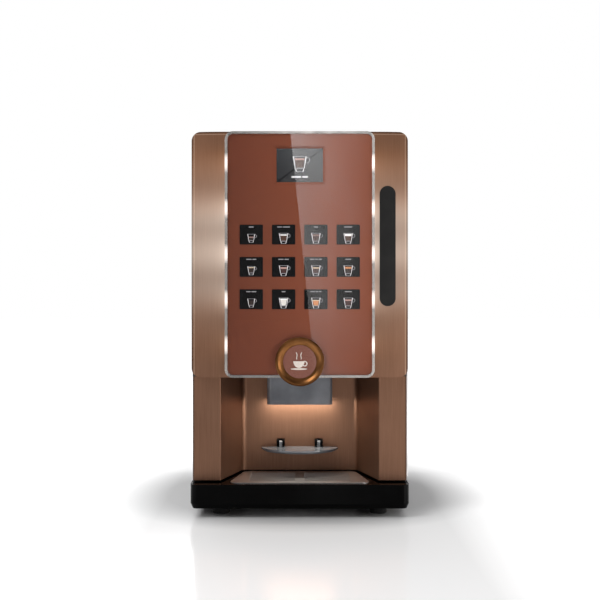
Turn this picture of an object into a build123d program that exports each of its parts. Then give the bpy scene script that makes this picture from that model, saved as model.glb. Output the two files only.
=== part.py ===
"""Table-top hot coffee vending machine with twelve selections.

Millimetres. X runs to the right, Y to the back, Z up. The origin is the middle
of the machine's footprint on the floor. A base carries the cabinet, and a full
height door with the keypad and the dispensing niche hangs on the right.
"""
import math
import os

from build123d import *

os.makedirs("parts", exist_ok=True)

# ---------------------------------------------------------------- overall
overall_depth = 564.0  # badge front to rear water fitting
base_width = 410.0
foot_height = 18.0
base_height = 45.0
door_height = 660.0  # base top to door top
niche_height = 200.0  # base top to the niche's ceiling
cover_height = 20.0  # door top to the bean lid's top

# ---------------------------------------------------------------- sheet and gaps
sheet = 1.2  # cabinet and chassis steel
skin = 2.0  # door mouldings
running_gap = 0.05  # radial, round shafts and pins
seat_gap = 0.2  # under a piece that lifts off
door_gap = 3.0  # under the door
panel_inset = 2.0  # base edge to cabinet side

# ---------------------------------------------------------------- front planes
badge_proud = 6.0  # badge front to glass front
base_proud = 2.0  # glass front to base front
fascia_back = 6.0  # base front to fascia front
pillar_back = 33.0  # base front to pillar front
niche_depth = 126.0  # pillar front to niche back wall
hinge_back = 26.0  # pillar front to hinge axis
rear_fitting = 12.0  # rear panel to water fitting's end

y_front = -overall_depth / 2
y_glass = y_front + badge_proud
y_base = y_glass + base_proud
y_fascia = y_base + fascia_back
y_pillar = y_base + pillar_back
y_niche = y_pillar + niche_depth
y_hinge = y_pillar + hinge_back
y_rear = overall_depth / 2 - rear_fitting

base_top = foot_height + base_height
door_top = base_top + door_height
niche_top = base_top + niche_height
overall_height = door_top + cover_height
door_bottom = base_top + door_gap
half_body = base_width / 2 - panel_inset  # outer face of the cabinet sides
half_inside = half_body - sheet

# ---------------------------------------------------------------- hinge
hinge_radius = 3.0
hinge_out = 1.5  # hinge axis beyond the cabinet side
hinge_pin_radius = 1.45
hinge_edge = 4.0  # axis to the edges of door and cabinet
hinge_end = 4.0  # door end to hinge end
knuckle_pitch = 38.0
knuckle_gap = 0.4
leaf_width = 22.0
x_hinge = half_body + hinge_out
y_door_back = y_hinge - hinge_edge
y_cabinet = y_hinge + hinge_edge

# ---------------------------------------------------------------- feet and base
foot_radius = 16.5
foot_from_front = 60.0
foot_from_side = 54.0
foot_from_rear = 60.0
base_corner = 14.0
base_wall = 4.0
base_chamfer = 9.0

y_feet = [y_base + foot_from_front, y_rear - foot_from_rear]
x_feet = base_width / 2 - foot_from_side

with BuildPart() as feet:
    with BuildSketch() as foot_plan:
        for y_foot in y_feet:
            with Locations((-x_feet, y_foot), (x_feet, y_foot)):
                Circle(foot_radius)
    extrude(amount=foot_height)
    chamfer(feet.faces().sort_by(Axis.Z)[:4].edges(), 1.5)
feet.part.label = "feet"
export_step(feet.part, "parts/feet.step")

# ---------------------------------------------------------------- drip tray
tray_front_width = 268.0
tray_back_width = 222.0
tray_from_front = 15.0  # base front to tray rim
tray_length = 137.0
tray_depth = 28.0
tray_corner = 10.0
tray_sheet = 1.2
tray_rim = 6.0  # rim width outside the grille
grille_ledge = 4.0  # ledge that carries the grille
grille_thickness = 1.2
recess_gap = 1.0

tray_front = y_base + tray_from_front
tray_back = tray_front + tray_length
tray_top = base_top + seat_gap + tray_sheet
ledge_top = tray_top - grille_thickness  # so the grille lies flush with the rim


def tray_corners(inset):
    """Corners of the tray's outline, drawn smaller by inset on every side."""
    taper = (tray_front_width - tray_back_width) / 2 / tray_length
    side = inset * math.hypot(1, taper)
    front_half = tray_front_width / 2 - side - inset * taper
    back_half = tray_back_width / 2 - side + inset * taper
    front = tray_front + inset
    back = tray_back - inset
    return [(-front_half, front), (front_half, front), (back_half, back), (-back_half, back)]


pan_inset = tray_rim + grille_ledge
recess_inset = tray_rim - tray_sheet - recess_gap
recess_floor = base_top - tray_depth - recess_gap

with BuildPart() as base_moulding:
    base_depth = y_rear - y_base
    base_middle = (y_rear + y_base) / 2
    with BuildSketch(Plane.XY.offset(foot_height)):
        with Locations((0, base_middle)):
            RectangleRounded(base_width, base_depth, base_corner)
    extrude(amount=base_height)
    chamfer(base_moulding.faces().sort_by(Axis.Z)[0].edges(), base_chamfer, base_wall)
    with BuildSketch(Plane.XY.offset(foot_height)):
        with Locations((0, base_middle)):
            Rectangle(base_width - 4 * base_wall, base_depth - 4 * base_wall)
        for y_foot in y_feet:
            with Locations((-x_feet, y_foot), (x_feet, y_foot)):
                Circle(foot_radius + base_wall, mode=Mode.SUBTRACT)
    extrude(amount=base_height - base_wall, mode=Mode.SUBTRACT)
    with BuildSketch(Plane.XY.offset(recess_floor - base_wall)):
        Polygon(*tray_corners(recess_inset - base_wall), align=None)
    extrude(amount=base_top - recess_floor + base_wall)
    with BuildSketch(Plane.XY.offset(recess_floor)) as recess_plan:
        Polygon(*tray_corners(recess_inset), align=None)
        fillet(recess_plan.vertices(), tray_corner)
    extrude(amount=base_top - recess_floor, mode=Mode.SUBTRACT)
base_moulding.part.label = "base_moulding"
export_step(base_moulding.part, "parts/base_moulding.step")

with BuildPart() as drip_tray:
    pan_bottom = base_top + seat_gap - tray_depth
    with BuildSketch(Plane.XY.offset(pan_bottom)) as pan_plan:
        Polygon(*tray_corners(pan_inset - tray_sheet), align=None)
        fillet(pan_plan.vertices(), tray_corner)
    extrude(amount=ledge_top - pan_bottom)
    with BuildSketch(Plane.XY.offset(ledge_top - tray_sheet)) as ledge_plan:
        Polygon(*tray_corners(tray_rim - tray_sheet), align=None)
        fillet(ledge_plan.vertices(), tray_corner + tray_sheet)
    extrude(amount=tray_top - ledge_top + tray_sheet)
    with BuildSketch(Plane.XY.offset(tray_top - tray_sheet)) as rim_plan:
        Polygon(*tray_corners(0), align=None)
        fillet(rim_plan.vertices(), tray_corner + tray_rim)
    extrude(amount=tray_sheet)
    with BuildSketch(Plane.XY.offset(pan_bottom + tray_sheet)) as hollow_plan:
        Polygon(*tray_corners(pan_inset), align=None)
        fillet(hollow_plan.vertices(), tray_corner - tray_sheet)
    extrude(amount=tray_depth, mode=Mode.SUBTRACT)
    with BuildSketch(Plane.XY.offset(ledge_top)) as step_plan:
        Polygon(*tray_corners(tray_rim), align=None)
        fillet(step_plan.vertices(), tray_corner)
    extrude(amount=tray_depth, mode=Mode.SUBTRACT)
drip_tray.part.label = "drip_tray"
export_step(drip_tray.part, "parts/drip_tray.step")

slot_pitch = 12.0
slot_width = 6.0
slot_border = 16.0

with BuildPart() as drip_grille:
    with BuildSketch(Plane.XY.offset(ledge_top + seat_gap)) as grille_plan:
        Polygon(*tray_corners(tray_rim + recess_gap / 2), align=None)
        fillet(grille_plan.vertices(), tray_corner)
        slot_rows = int((tray_length - 2 * slot_border) / slot_pitch)
        slot_length = tray_back_width / 2 - slot_border - slot_width
        with Locations((0, (tray_front + tray_back) / 2)):
            with GridLocations(slot_length + slot_border, slot_pitch, 2, slot_rows):
                SlotOverall(slot_length, slot_width, mode=Mode.SUBTRACT)
    extrude(amount=grille_thickness)
drip_grille.part.label = "drip_grille"
export_step(drip_grille.part, "parts/drip_grille.step")

# ---------------------------------------------------------------- cabinet
flange_width = 20.0
hatch_left = -190.0
hatch_right = 190.0
hatch_front = y_niche - 10.0
hatch_back = y_niche + 215.0
lock_height = base_top + 339.0
lock_back = 25.0  # hinge plane to lock axis
lock_body_radius = 9.5
lock_proud = 4.5
y_lock = y_hinge + lock_back

with BuildPart() as cabinet_shell:
    cabinet_middle = (y_cabinet + y_rear) / 2
    cabinet_depth = y_rear - y_cabinet
    with BuildSketch(Plane.XY.offset(base_top)):
        with Locations((0, cabinet_middle)):
            Rectangle(2 * half_body, cabinet_depth)
            Rectangle(2 * half_inside, cabinet_depth, mode=Mode.SUBTRACT)
        for side in (-1, 1):
            with Locations((side * (half_body - flange_width / 2), y_cabinet + sheet / 2)):
                Rectangle(flange_width, sheet)
    extrude(amount=door_top - base_top)
    with BuildSketch(Plane.XY.offset(door_top - sheet)):
        with Locations((0, cabinet_middle)):
            Rectangle(2 * half_body, cabinet_depth)
        with Locations(((hatch_left + hatch_right) / 2, (hatch_front + hatch_back) / 2)):
            Rectangle(hatch_right - hatch_left, hatch_back - hatch_front, mode=Mode.SUBTRACT)
    extrude(amount=sheet)
    with BuildSketch(Plane.YZ.offset(-half_body)):
        with Locations((y_lock, lock_height)):
            Circle(lock_body_radius)
    extrude(amount=sheet, mode=Mode.SUBTRACT)
cabinet_shell.part.label = "cabinet_shell"
export_step(cabinet_shell.part, "parts/cabinet_shell.step")

# ---------------------------------------------------------------- rear panel and its fittings
panel_top = door_top - 2 * sheet
water_x = -150.0
water_z = base_top + 47.0
water_radius = 13.2  # three-quarter inch pipe thread
water_bore = 7.0
hex_across = 32.0
inlet_x = 140.0
inlet_z = water_z
inlet_width = 64.0
inlet_tall = 30.0
fan_x = 100.0
fan_z = base_top + 277.0
fan_size = 80.0
fan_depth = 25.0
fan_bore = 37.5
vent_x = -90.0
vent_width = 90.0
vent_height = 4.0
vent_pitch = 11.0
vent_rows = 9
screw_radius = 3.5
screw_inset = 12.0

with BuildPart() as rear_panel:
    panel_middle = (base_top + panel_top) / 2
    with BuildSketch(Plane.XZ.offset(-y_rear)):
        with Locations((0, panel_middle)):
            Rectangle(2 * half_inside - 2 * seat_gap, panel_top - base_top - 2 * seat_gap)
        with Locations((fan_x, fan_z)):
            Circle(fan_bore, mode=Mode.SUBTRACT)
        with Locations((water_x, water_z)):
            Circle(water_radius + seat_gap, mode=Mode.SUBTRACT)
        with Locations((inlet_x, inlet_z)):
            Rectangle(inlet_width - 8, inlet_tall - 6, mode=Mode.SUBTRACT)
        for vent_z in (fan_z, fan_z + fan_size * 3):
            with Locations((vent_x, vent_z)):
                with GridLocations(vent_width + vent_pitch, vent_pitch, 1, vent_rows):
                    SlotOverall(vent_width, vent_height, mode=Mode.SUBTRACT)
    extrude(amount=sheet)
rear_panel.part.label = "rear_panel"
export_step(rear_panel.part, "parts/rear_panel.step")

with BuildPart() as panel_screws:
    screw_rows = [base_top + screw_inset, panel_middle, panel_top - screw_inset]
    screw_x = half_inside - screw_inset
    with BuildSketch(Plane.XZ.offset(-y_rear)):
        for screw_z in screw_rows:
            with Locations((-screw_x, screw_z), (screw_x, screw_z)):
                Circle(screw_radius)
    extrude(amount=-2.2)
    with BuildSketch(Plane.XZ.offset(-y_rear - 2.2)):
        for screw_z in screw_rows:
            with Locations((-screw_x, screw_z), (screw_x, screw_z)):
                RegularPolygon(screw_radius / 2, 6)
    extrude(amount=1.2, mode=Mode.SUBTRACT)
panel_screws.part.label = "panel_screws"
export_step(panel_screws.part, "parts/panel_screws.step")

with BuildPart() as water_inlet:
    with BuildSketch(Plane.XZ.offset(-y_rear - rear_fitting)):
        with Locations((water_x, water_z)):
            Circle(water_radius)
    extrude(amount=rear_fitting + sheet + 6)
    with BuildSketch(Plane.XZ.offset(-y_rear + sheet)):
        with Locations((water_x, water_z)):
            RegularPolygon(hex_across / 2, 6, major_radius=False)
    extrude(amount=8)
    with BuildSketch(Plane.XZ.offset(-y_rear + sheet + 8)):
        with Locations((water_x, water_z)):
            Rectangle(34, 34)
    extrude(amount=38)
    with BuildSketch(Plane.XZ.offset(-y_rear - rear_fitting)):
        with Locations((water_x, water_z)):
            Circle(water_bore)
    extrude(amount=rear_fitting + 8, mode=Mode.SUBTRACT)
water_inlet.part.label = "water_inlet"
export_step(water_inlet.part, "parts/water_inlet.step")

# ---------------------------------------------------------------- mains inlet with rocker switch
socket_x = inlet_x - 14.0
socket_width = 24.0
socket_tall = 16.5
rocker_x = inlet_x + 18.0
rocker_width = 12.0
rocker_tall = 18.0
rocker_bay = 1.2
rocker_pin = 1.5
rocker_proud = 3.0
inlet_deep = 24.0
inlet_flange = 2.5

with BuildPart() as power_inlet:
    with BuildSketch(Plane.XZ.offset(-y_rear - inlet_flange)):
        with Locations((inlet_x, inlet_z)):
            RectangleRounded(inlet_width, inlet_tall, 3)
    extrude(amount=inlet_flange)
    with BuildSketch(Plane.XZ.offset(-y_rear)):
        with Locations((inlet_x, inlet_z)):
            Rectangle(inlet_width - 8.4, inlet_tall - 6.4)
    extrude(amount=inlet_deep)
    with BuildSketch(Plane.XZ.offset(-y_rear - inlet_flange)):
        with Locations((socket_x, inlet_z)):
            Rectangle(socket_width, socket_tall)
        with Locations((rocker_x, inlet_z)):
            Rectangle(rocker_width + rocker_bay, rocker_tall + 2 * rocker_bay)
    extrude(amount=inlet_deep - inlet_flange, mode=Mode.SUBTRACT)
    with BuildSketch(Plane.YZ.offset(rocker_x - rocker_width)):
        with Locations((y_rear, inlet_z)):
            Circle(rocker_pin + running_gap)
    extrude(amount=2 * rocker_width, mode=Mode.SUBTRACT)
    with BuildSketch(Plane.XZ.offset(-y_rear + inlet_deep - 2 * inlet_flange)):
        with Locations((socket_x, inlet_z + 2), (socket_x - 6, inlet_z - 2), (socket_x + 6, inlet_z - 2)):
            Rectangle(2, 4)
    extrude(amount=-14)
power_inlet.part.label = "power_inlet"
export_step(power_inlet.part, "parts/power_inlet.step")

with BuildPart() as power_rocker:
    with BuildSketch(Plane.YZ.offset(rocker_x - rocker_width / 2)) as rocker_side:
        rocker_tip = rocker_tall / 2
        Polygon(
            (y_rear + rocker_proud + 2, inlet_z + rocker_tip),
            (y_rear + rocker_proud, inlet_z),
            (y_rear + rocker_proud + 2, inlet_z - rocker_tip),
            (y_rear - rocker_proud, inlet_z - rocker_tip),
            (y_rear - 2 * rocker_proud, inlet_z),
            (y_rear - rocker_proud, inlet_z + rocker_tip),
            align=None,
        )
    extrude(amount=rocker_width)
    with BuildSketch(Plane.YZ.offset(rocker_x - rocker_width / 2 - 3)):
        with Locations((y_rear, inlet_z)):
            Circle(rocker_pin)
    extrude(amount=rocker_width + 6)
power_rocker.part.label = "power_rocker"
export_step(power_rocker.part, "parts/power_rocker.step")

# ---------------------------------------------------------------- cooling fan
fan_blades = 7
fan_hub = 17.0
fan_pin = 3.0
fan_tip_gap = 1.5
y_fan = y_rear - sheet

with BuildPart() as fan_housing:
    with BuildSketch(Plane.XZ.offset(-y_fan)):
        with Locations((fan_x, fan_z)):
            RectangleRounded(fan_size, fan_size, 5)
            Circle(fan_bore, mode=Mode.SUBTRACT)
    extrude(amount=fan_depth)
    with BuildSketch(Plane.XZ.offset(-y_fan + fan_depth - 3)):
        with Locations((fan_x, fan_z)):
            Circle(fan_hub)
            Rectangle(2 * fan_bore + 2, 6)
            Rectangle(6, 2 * fan_bore + 2)
    extrude(amount=3)
    with BuildSketch(Plane.XZ.offset(-y_fan + fan_depth)):
        with Locations((fan_x, fan_z)):
            Circle(fan_pin)
    extrude(amount=-fan_depth + 6)
fan_housing.part.label = "fan_housing"
export_step(fan_housing.part, "parts/fan_housing.step")

with BuildPart() as fan_rotor:
    hub_depth = fan_depth - 7
    with BuildSketch(Plane.XZ.offset(-y_fan + 3)):
        with Locations((fan_x, fan_z)):
            Circle(fan_hub)
    extrude(amount=hub_depth)
    blade_reach = fan_bore - fan_tip_gap
    with BuildSketch(Plane.XZ.offset(-y_fan + 6)):
        with Locations((fan_x, fan_z)):
            with PolarLocations((fan_hub + blade_reach) / 2 - 1, fan_blades):
                Rectangle(blade_reach - fan_hub + 1, 7)
    extrude(amount=hub_depth / 3)
    with BuildSketch(Plane.XZ.offset(-y_fan)):
        with Locations((fan_x, fan_z)):
            Circle(fan_pin + running_gap)
    extrude(amount=fan_depth, mode=Mode.SUBTRACT)
fan_rotor.part.label = "fan_rotor"
export_step(fan_rotor.part, "parts/fan_rotor.step")

# ---------------------------------------------------------------- chassis
bulkhead_y = y_niche + 225.0
shelf_z = base_top + 407.0
grinder_shelf_z = base_top + 381.0
mixer_plate_y = y_niche + 95.0
mixer_plate_z = base_top + 277.0
chassis_sheet = 1.5
canister_shelf_left = 4.0
canister_shelf_front = y_niche - 35.0
grinder_shelf_left = -175.0
grinder_shelf_right = -15.0
grinder_shelf_front = y_niche + 39.0
chassis_top = base_top + 627.0
motor_radius = 22.0
shaft_radius = 4.0
auger_x = [52.0, 142.0]
auger_z = base_top + 432.0
mixer_z = base_top + 322.0

with BuildPart() as chassis:
    with BuildSketch(Plane.XZ.offset(-bulkhead_y)):
        with Locations((0, (base_top + chassis_top) / 2)):
            Rectangle(2 * half_inside - 2 * seat_gap, chassis_top - base_top)
        for x in auger_x:
            with Locations((x, auger_z)):
                Circle(2 * shaft_radius, mode=Mode.SUBTRACT)
    extrude(amount=-chassis_sheet)
    with BuildSketch(Plane.XY.offset(shelf_z)):
        with BuildLine():
            Polyline(
                (canister_shelf_left, canister_shelf_front),
                (half_inside - seat_gap, canister_shelf_front),
                (half_inside - seat_gap, bulkhead_y),
                (canister_shelf_left, bulkhead_y),
                close=True,
            )
        make_face()
    extrude(amount=chassis_sheet)
    with BuildSketch(Plane.XY.offset(grinder_shelf_z)):
        with BuildLine():
            Polyline(
                (grinder_shelf_left, grinder_shelf_front),
                (grinder_shelf_right, grinder_shelf_front),
                (grinder_shelf_right, bulkhead_y),
                (grinder_shelf_left, bulkhead_y),
                close=True,
            )
        make_face()
    extrude(amount=chassis_sheet)
    with BuildSketch(Plane.XZ.offset(-mixer_plate_y)):
        with Locations(((canister_shelf_left + half_inside - seat_gap) / 2, (mixer_plate_z + shelf_z) / 2)):
            Rectangle(half_inside - seat_gap - canister_shelf_left, shelf_z - mixer_plate_z)
        for x in auger_x:
            with Locations((x, mixer_z)):
                Circle(2 * shaft_radius, mode=Mode.SUBTRACT)
    extrude(amount=-chassis_sheet)
chassis.part.label = "chassis"
export_step(chassis.part, "parts/chassis.step")

# ---------------------------------------------------------------- powder canisters and augers
canister_width = 80.0
canister_front = y_niche - 15.0
canister_tall = 215.0
canister_wall = 2.0
canister_floor = 46.0  # height of the solid trough that holds the auger
auger_bore = 17.0
flight_radius = 15.5
flight_pitch = 16.0
flight_thickness = 2.0
outlet_length = 36.0
outlet_radius = 20.0
outlet_cap = 3.0
mouth_length = 18.0
lid_thickness = 3.0

canister_low = shelf_z + chassis_sheet
canister_back = bulkhead_y - seat_gap
canister_length = canister_back - canister_front
canister_middle = (canister_front + canister_back) / 2
y_outlet = canister_front - outlet_length
y_mouth = y_outlet + outlet_cap + mouth_length / 2 + canister_wall

with BuildPart() as powder_canisters:
    for x in auger_x:
        with BuildSketch(Plane.XY.offset(canister_low)):
            with Locations((x, canister_middle)):
                Rectangle(canister_width, canister_length)
        extrude(amount=canister_tall)
        with BuildSketch(Plane.XZ.offset(-y_outlet)):
            with Locations((x, auger_z)):
                Circle(outlet_radius)
        extrude(amount=-outlet_length)
        with BuildSketch(Plane.XY.offset(canister_low + canister_floor)):
            with Locations((x, canister_middle)):
                Rectangle(canister_width - 2 * canister_wall, canister_length - 2 * canister_wall)
        extrude(amount=canister_tall, mode=Mode.SUBTRACT)
        with BuildSketch(Plane.XZ.offset(-y_outlet - outlet_cap)):
            with Locations((x, auger_z)):
                Circle(auger_bore)
        extrude(amount=-(canister_length + outlet_length - outlet_cap - canister_wall), mode=Mode.SUBTRACT)
        with BuildSketch(Plane.XY.offset(auger_z)):
            with Locations((x, canister_middle)):
                Rectangle(1.6 * auger_bore, canister_length - 2 * canister_wall)
        extrude(amount=canister_floor, mode=Mode.SUBTRACT)
        with BuildSketch(Plane.XY.offset(auger_z - outlet_radius)):
            with Locations((x, y_mouth)):
                Circle(mouth_length / 2)
        extrude(amount=outlet_radius, mode=Mode.SUBTRACT)
        with BuildSketch(Plane.XZ.offset(-y_outlet)):
            with Locations((x, auger_z)):
                Circle(shaft_radius + running_gap)
        extrude(amount=-(canister_length + outlet_length), mode=Mode.SUBTRACT)
powder_canisters.part.label = "powder_canisters"
export_step(powder_canisters.part, "parts/powder_canisters.step")

with BuildPart() as canister_lids:
    for x in auger_x:
        with BuildSketch(Plane.XY.offset(canister_low + canister_tall)):
            with Locations((x, canister_middle)):
                RectangleRounded(canister_width + 2, canister_length - 1, 4)
        extrude(amount=lid_thickness)
        with BuildSketch(Plane.XY.offset(canister_low + canister_tall - lid_thickness)):
            with Locations((x, canister_middle)):
                Rectangle(canister_width - 2 * canister_wall - 1, canister_length - 2 * canister_wall - 1)
        extrude(amount=lid_thickness)
canister_lids.part.label = "canister_lids"
export_step(canister_lids.part, "parts/canister_lids.step")

motor_length = 36.0
motor_flange = 27.0
shaft_depth = 20.0  # how far each shaft reaches into its motor
auger_end = bulkhead_y + chassis_sheet + shaft_depth

for index, x in enumerate(auger_x, start=1):
    with BuildPart() as auger:
        with BuildSketch(Plane.XZ.offset(-y_outlet)):
            with Locations((x, auger_z)):
                Circle(shaft_radius)
        extrude(amount=-(auger_end - y_outlet))
        flights = int((canister_length - canister_wall) / flight_pitch)
        for turn in range(flights):
            with BuildSketch(Plane.XZ.offset(-canister_front - turn * flight_pitch)):
                with Locations((x, auger_z)):
                    Circle(flight_radius)
            extrude(amount=-flight_thickness)
    auger.part.label = f"auger_{index}"
    export_step(auger.part, f"parts/auger_{index}.step")

# ---------------------------------------------------------------- mixers
bowl_radius = 35.0
bowl_wall = 2.0
bowl_tall = 58.0
chamber_radius = 23.0
chamber_back = y_niche + 53.0
impeller_radius = 18.0
impeller_shaft_start = y_niche - 13.0
outlet_pipe_radius = 6.0
outlet_pipe_length = 16.0
y_mixer_motor = mixer_plate_y - motor_length
y_bowl = y_mouth

with BuildPart() as mixer_bowls:
    for x in auger_x:
        with BuildSketch(Plane.XY.offset(mixer_z)):
            with Locations((x, y_bowl)):
                Circle(bowl_radius)
        extrude(amount=bowl_tall)
        with BuildSketch(Plane.XZ.offset(-y_bowl + bowl_radius / 2)):
            with Locations((x, mixer_z)):
                Circle(chamber_radius)
        extrude(amount=-(chamber_back - y_bowl + bowl_radius / 2))
        with BuildSketch(Plane.XY.offset(mixer_z - chamber_radius - outlet_pipe_length)):
            with Locations((x, y_bowl + bowl_radius)):
                Circle(outlet_pipe_radius)
        extrude(amount=outlet_pipe_length + 4)
        with BuildSketch(Plane.XY.offset(mixer_z + 4)):
            with Locations((x, y_bowl)):
                Circle(bowl_radius - bowl_wall)
        extrude(amount=bowl_tall, mode=Mode.SUBTRACT)
        with BuildSketch(Plane.XZ.offset(-y_bowl + bowl_radius / 2 - bowl_wall)):
            with Locations((x, mixer_z)):
                Circle(chamber_radius - bowl_wall)
        extrude(amount=-(chamber_back - y_bowl + bowl_radius / 2 - 3 * bowl_wall), mode=Mode.SUBTRACT)
        with BuildSketch(Plane.XZ.offset(-chamber_back)):
            with Locations((x, mixer_z)):
                Circle(shaft_radius + running_gap)
        extrude(amount=3 * bowl_wall, mode=Mode.SUBTRACT)
mixer_bowls.part.label = "mixer_bowls"
export_step(mixer_bowls.part, "parts/mixer_bowls.step")

for index, x in enumerate(auger_x, start=1):
    with BuildPart() as impeller:
        with BuildSketch(Plane.XZ.offset(-impeller_shaft_start)):
            with Locations((x, mixer_z)):
                Circle(shaft_radius)
        extrude(amount=-(y_mixer_motor + shaft_depth - impeller_shaft_start))
        with BuildSketch(Plane.XZ.offset(-impeller_shaft_start)):
            with Locations((x, mixer_z)):
                Circle(impeller_radius)
        extrude(amount=-3)
        with BuildSketch(Plane.XZ.offset(-impeller_shaft_start - 3)):
            with Locations((x, mixer_z)):
                with PolarLocations((impeller_radius + shaft_radius) / 2, 6):
                    Rectangle(impeller_radius - shaft_radius + 1, 2)
        extrude(amount=-8)
    impeller.part.label = f"mixer_impeller_{index}"
    export_step(impeller.part, f"parts/mixer_impeller_{index}.step")

# ---------------------------------------------------------------- bean hopper and gate
grinder_x = -95.0
grinder_y = y_niche + 95.0
hopper_width = 150.0
hopper_depth = 170.0
hopper_wall = 2.5
hopper_straight = base_top + 567.0
neck_low = base_top + 477.0
neck_size = 60.0
neck_bore = 40.0
neck_tall = 28.0
gate_low = base_top + 488.0
gate_thickness = 2.6
gate_slot = 3.2
gate_width = 49.0
gate_slot_width = 50.0
gate_travel = 44.0
cover_wall = 2.5
cover_front = y_niche - 23.0
cover_back = y_rear - 8.0
cover_corner = 16.0
bean_lid_thickness = 3.0
bean_lid_gap = 0.2
lid_width = 170.0
lid_depth = 190.0
lid_knuckle = 10.0
lid_hinge_edge = 4.0
lid_hinge_radius = 3.0
lid_pin_radius = 1.5
lid_hinge_inset = 12.0

cover_top = overall_height - bean_lid_thickness - bean_lid_gap
y_lid_hinge = grinder_y + lid_depth / 2 + lid_hinge_edge
lid_hinges = []
for side in (-1, 1):
    x_post = grinder_x + side * (lid_width / 2 - lid_hinge_inset)
    lid_hinges.append((x_post, x_post - side * (lid_knuckle + 2 * seat_gap)))


def hopper_form(inset):
    """Square funnel that narrows to the neck, drawn smaller by inset."""
    with BuildPart() as form:
        with BuildSketch(Plane.XY.offset(neck_low + neck_tall)):
            with Locations((grinder_x, grinder_y)):
                Rectangle(neck_size - 2 * inset, neck_size - 2 * inset)
        with BuildSketch(Plane.XY.offset(hopper_straight)):
            with Locations((grinder_x, grinder_y)):
                Rectangle(hopper_width - 2 * inset, hopper_depth - 2 * inset)
        loft()
        with BuildSketch(Plane.XY.offset(hopper_straight)):
            with Locations((grinder_x, grinder_y)):
                Rectangle(hopper_width - 2 * inset, hopper_depth - 2 * inset)
        extrude(amount=cover_top - hopper_straight)
    return form.part


hopper_outside = hopper_form(0)
hopper_inside = hopper_form(hopper_wall)

with BuildPart() as bean_hopper:
    add(hopper_outside)
    with BuildSketch(Plane.XY.offset(neck_low)):
        with Locations((grinder_x, grinder_y)):
            Rectangle(neck_size, neck_size)
    extrude(amount=neck_tall)
    add(hopper_inside, mode=Mode.SUBTRACT)
    with BuildSketch(Plane.XY.offset(neck_low)):
        with Locations((grinder_x, grinder_y)):
            Circle(neck_bore / 2)
    extrude(amount=neck_tall, mode=Mode.SUBTRACT)
    with BuildSketch(Plane.XY.offset(gate_low)):
        with Locations((grinder_x, grinder_y)):
            Rectangle(gate_slot_width, neck_size)
    extrude(amount=gate_slot, mode=Mode.SUBTRACT)
bean_hopper.part.label = "bean_hopper"
export_step(bean_hopper.part, "parts/bean_hopper.step")

with BuildPart() as hopper_gate:
    gate_tail = neck_bore / 2 + gate_travel + 4
    gate_front = grinder_y - neck_size / 2 - 12
    with BuildSketch(Plane.XY.offset(gate_low + (gate_slot - gate_thickness) / 2)):
        with Locations((grinder_x, (gate_front + grinder_y + gate_tail) / 2)):
            Rectangle(gate_width, grinder_y + gate_tail - gate_front)
        with Locations((grinder_x, grinder_y)):
            Circle(neck_bore / 2, mode=Mode.SUBTRACT)
    extrude(amount=gate_thickness)
    with BuildSketch(Plane.XZ.offset(-gate_front)):
        with Locations((grinder_x, gate_low + gate_slot / 2)):
            Rectangle(gate_width, 10)
    extrude(amount=3)
hopper_gate.part.label = "hopper_gate"
export_step(hopper_gate.part, "parts/hopper_gate.step")

with BuildPart() as top_cover:
    cover_middle = (cover_front + cover_back) / 2
    cover_length = cover_back - cover_front
    with BuildSketch(Plane.XY.offset(door_top)):
        with Locations((0, cover_middle)):
            RectangleRounded(2 * half_body - 8, cover_length, cover_corner)
    extrude(amount=cover_top - door_top)
    fillet(top_cover.faces().sort_by(Axis.Z)[-1].edges(), 3)
    with BuildSketch(Plane.XY.offset(door_top)):
        with Locations((0, cover_middle)):
            RectangleRounded(
                2 * half_body - 8 - 2 * cover_wall,
                cover_length - 2 * cover_wall,
                cover_corner - cover_wall,
            )
    extrude(amount=cover_top - door_top - cover_wall, mode=Mode.SUBTRACT)
    with BuildSketch(Plane.XY.offset(door_top)):
        with Locations((grinder_x, grinder_y)):
            Rectangle(hopper_width + 2 * seat_gap, hopper_depth + 2 * seat_gap)
    extrude(amount=cover_top - door_top, mode=Mode.SUBTRACT)
    for x_post, x_knuckle in lid_hinges:
        with BuildSketch(Plane.YZ.offset(x_knuckle - lid_knuckle / 2 - 2 * seat_gap)):
            with Locations((y_lid_hinge, cover_top)):
                Rectangle(2 * lid_hinge_edge, 2 * lid_hinge_edge)
        extrude(amount=lid_knuckle + 4 * seat_gap, mode=Mode.SUBTRACT)
        with BuildSketch(Plane.YZ.offset(x_post - lid_knuckle / 2)):
            with Locations((y_lid_hinge, cover_top)):
                Circle(lid_hinge_radius)
        extrude(amount=lid_knuckle)
        with BuildSketch(Plane.YZ.offset(x_post - lid_knuckle / 2)):
            with Locations((y_lid_hinge, cover_top)):
                Circle(lid_pin_radius + running_gap)
        extrude(amount=lid_knuckle, mode=Mode.SUBTRACT)
top_cover.part.label = "top_cover"
export_step(top_cover.part, "parts/top_cover.step")

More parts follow.
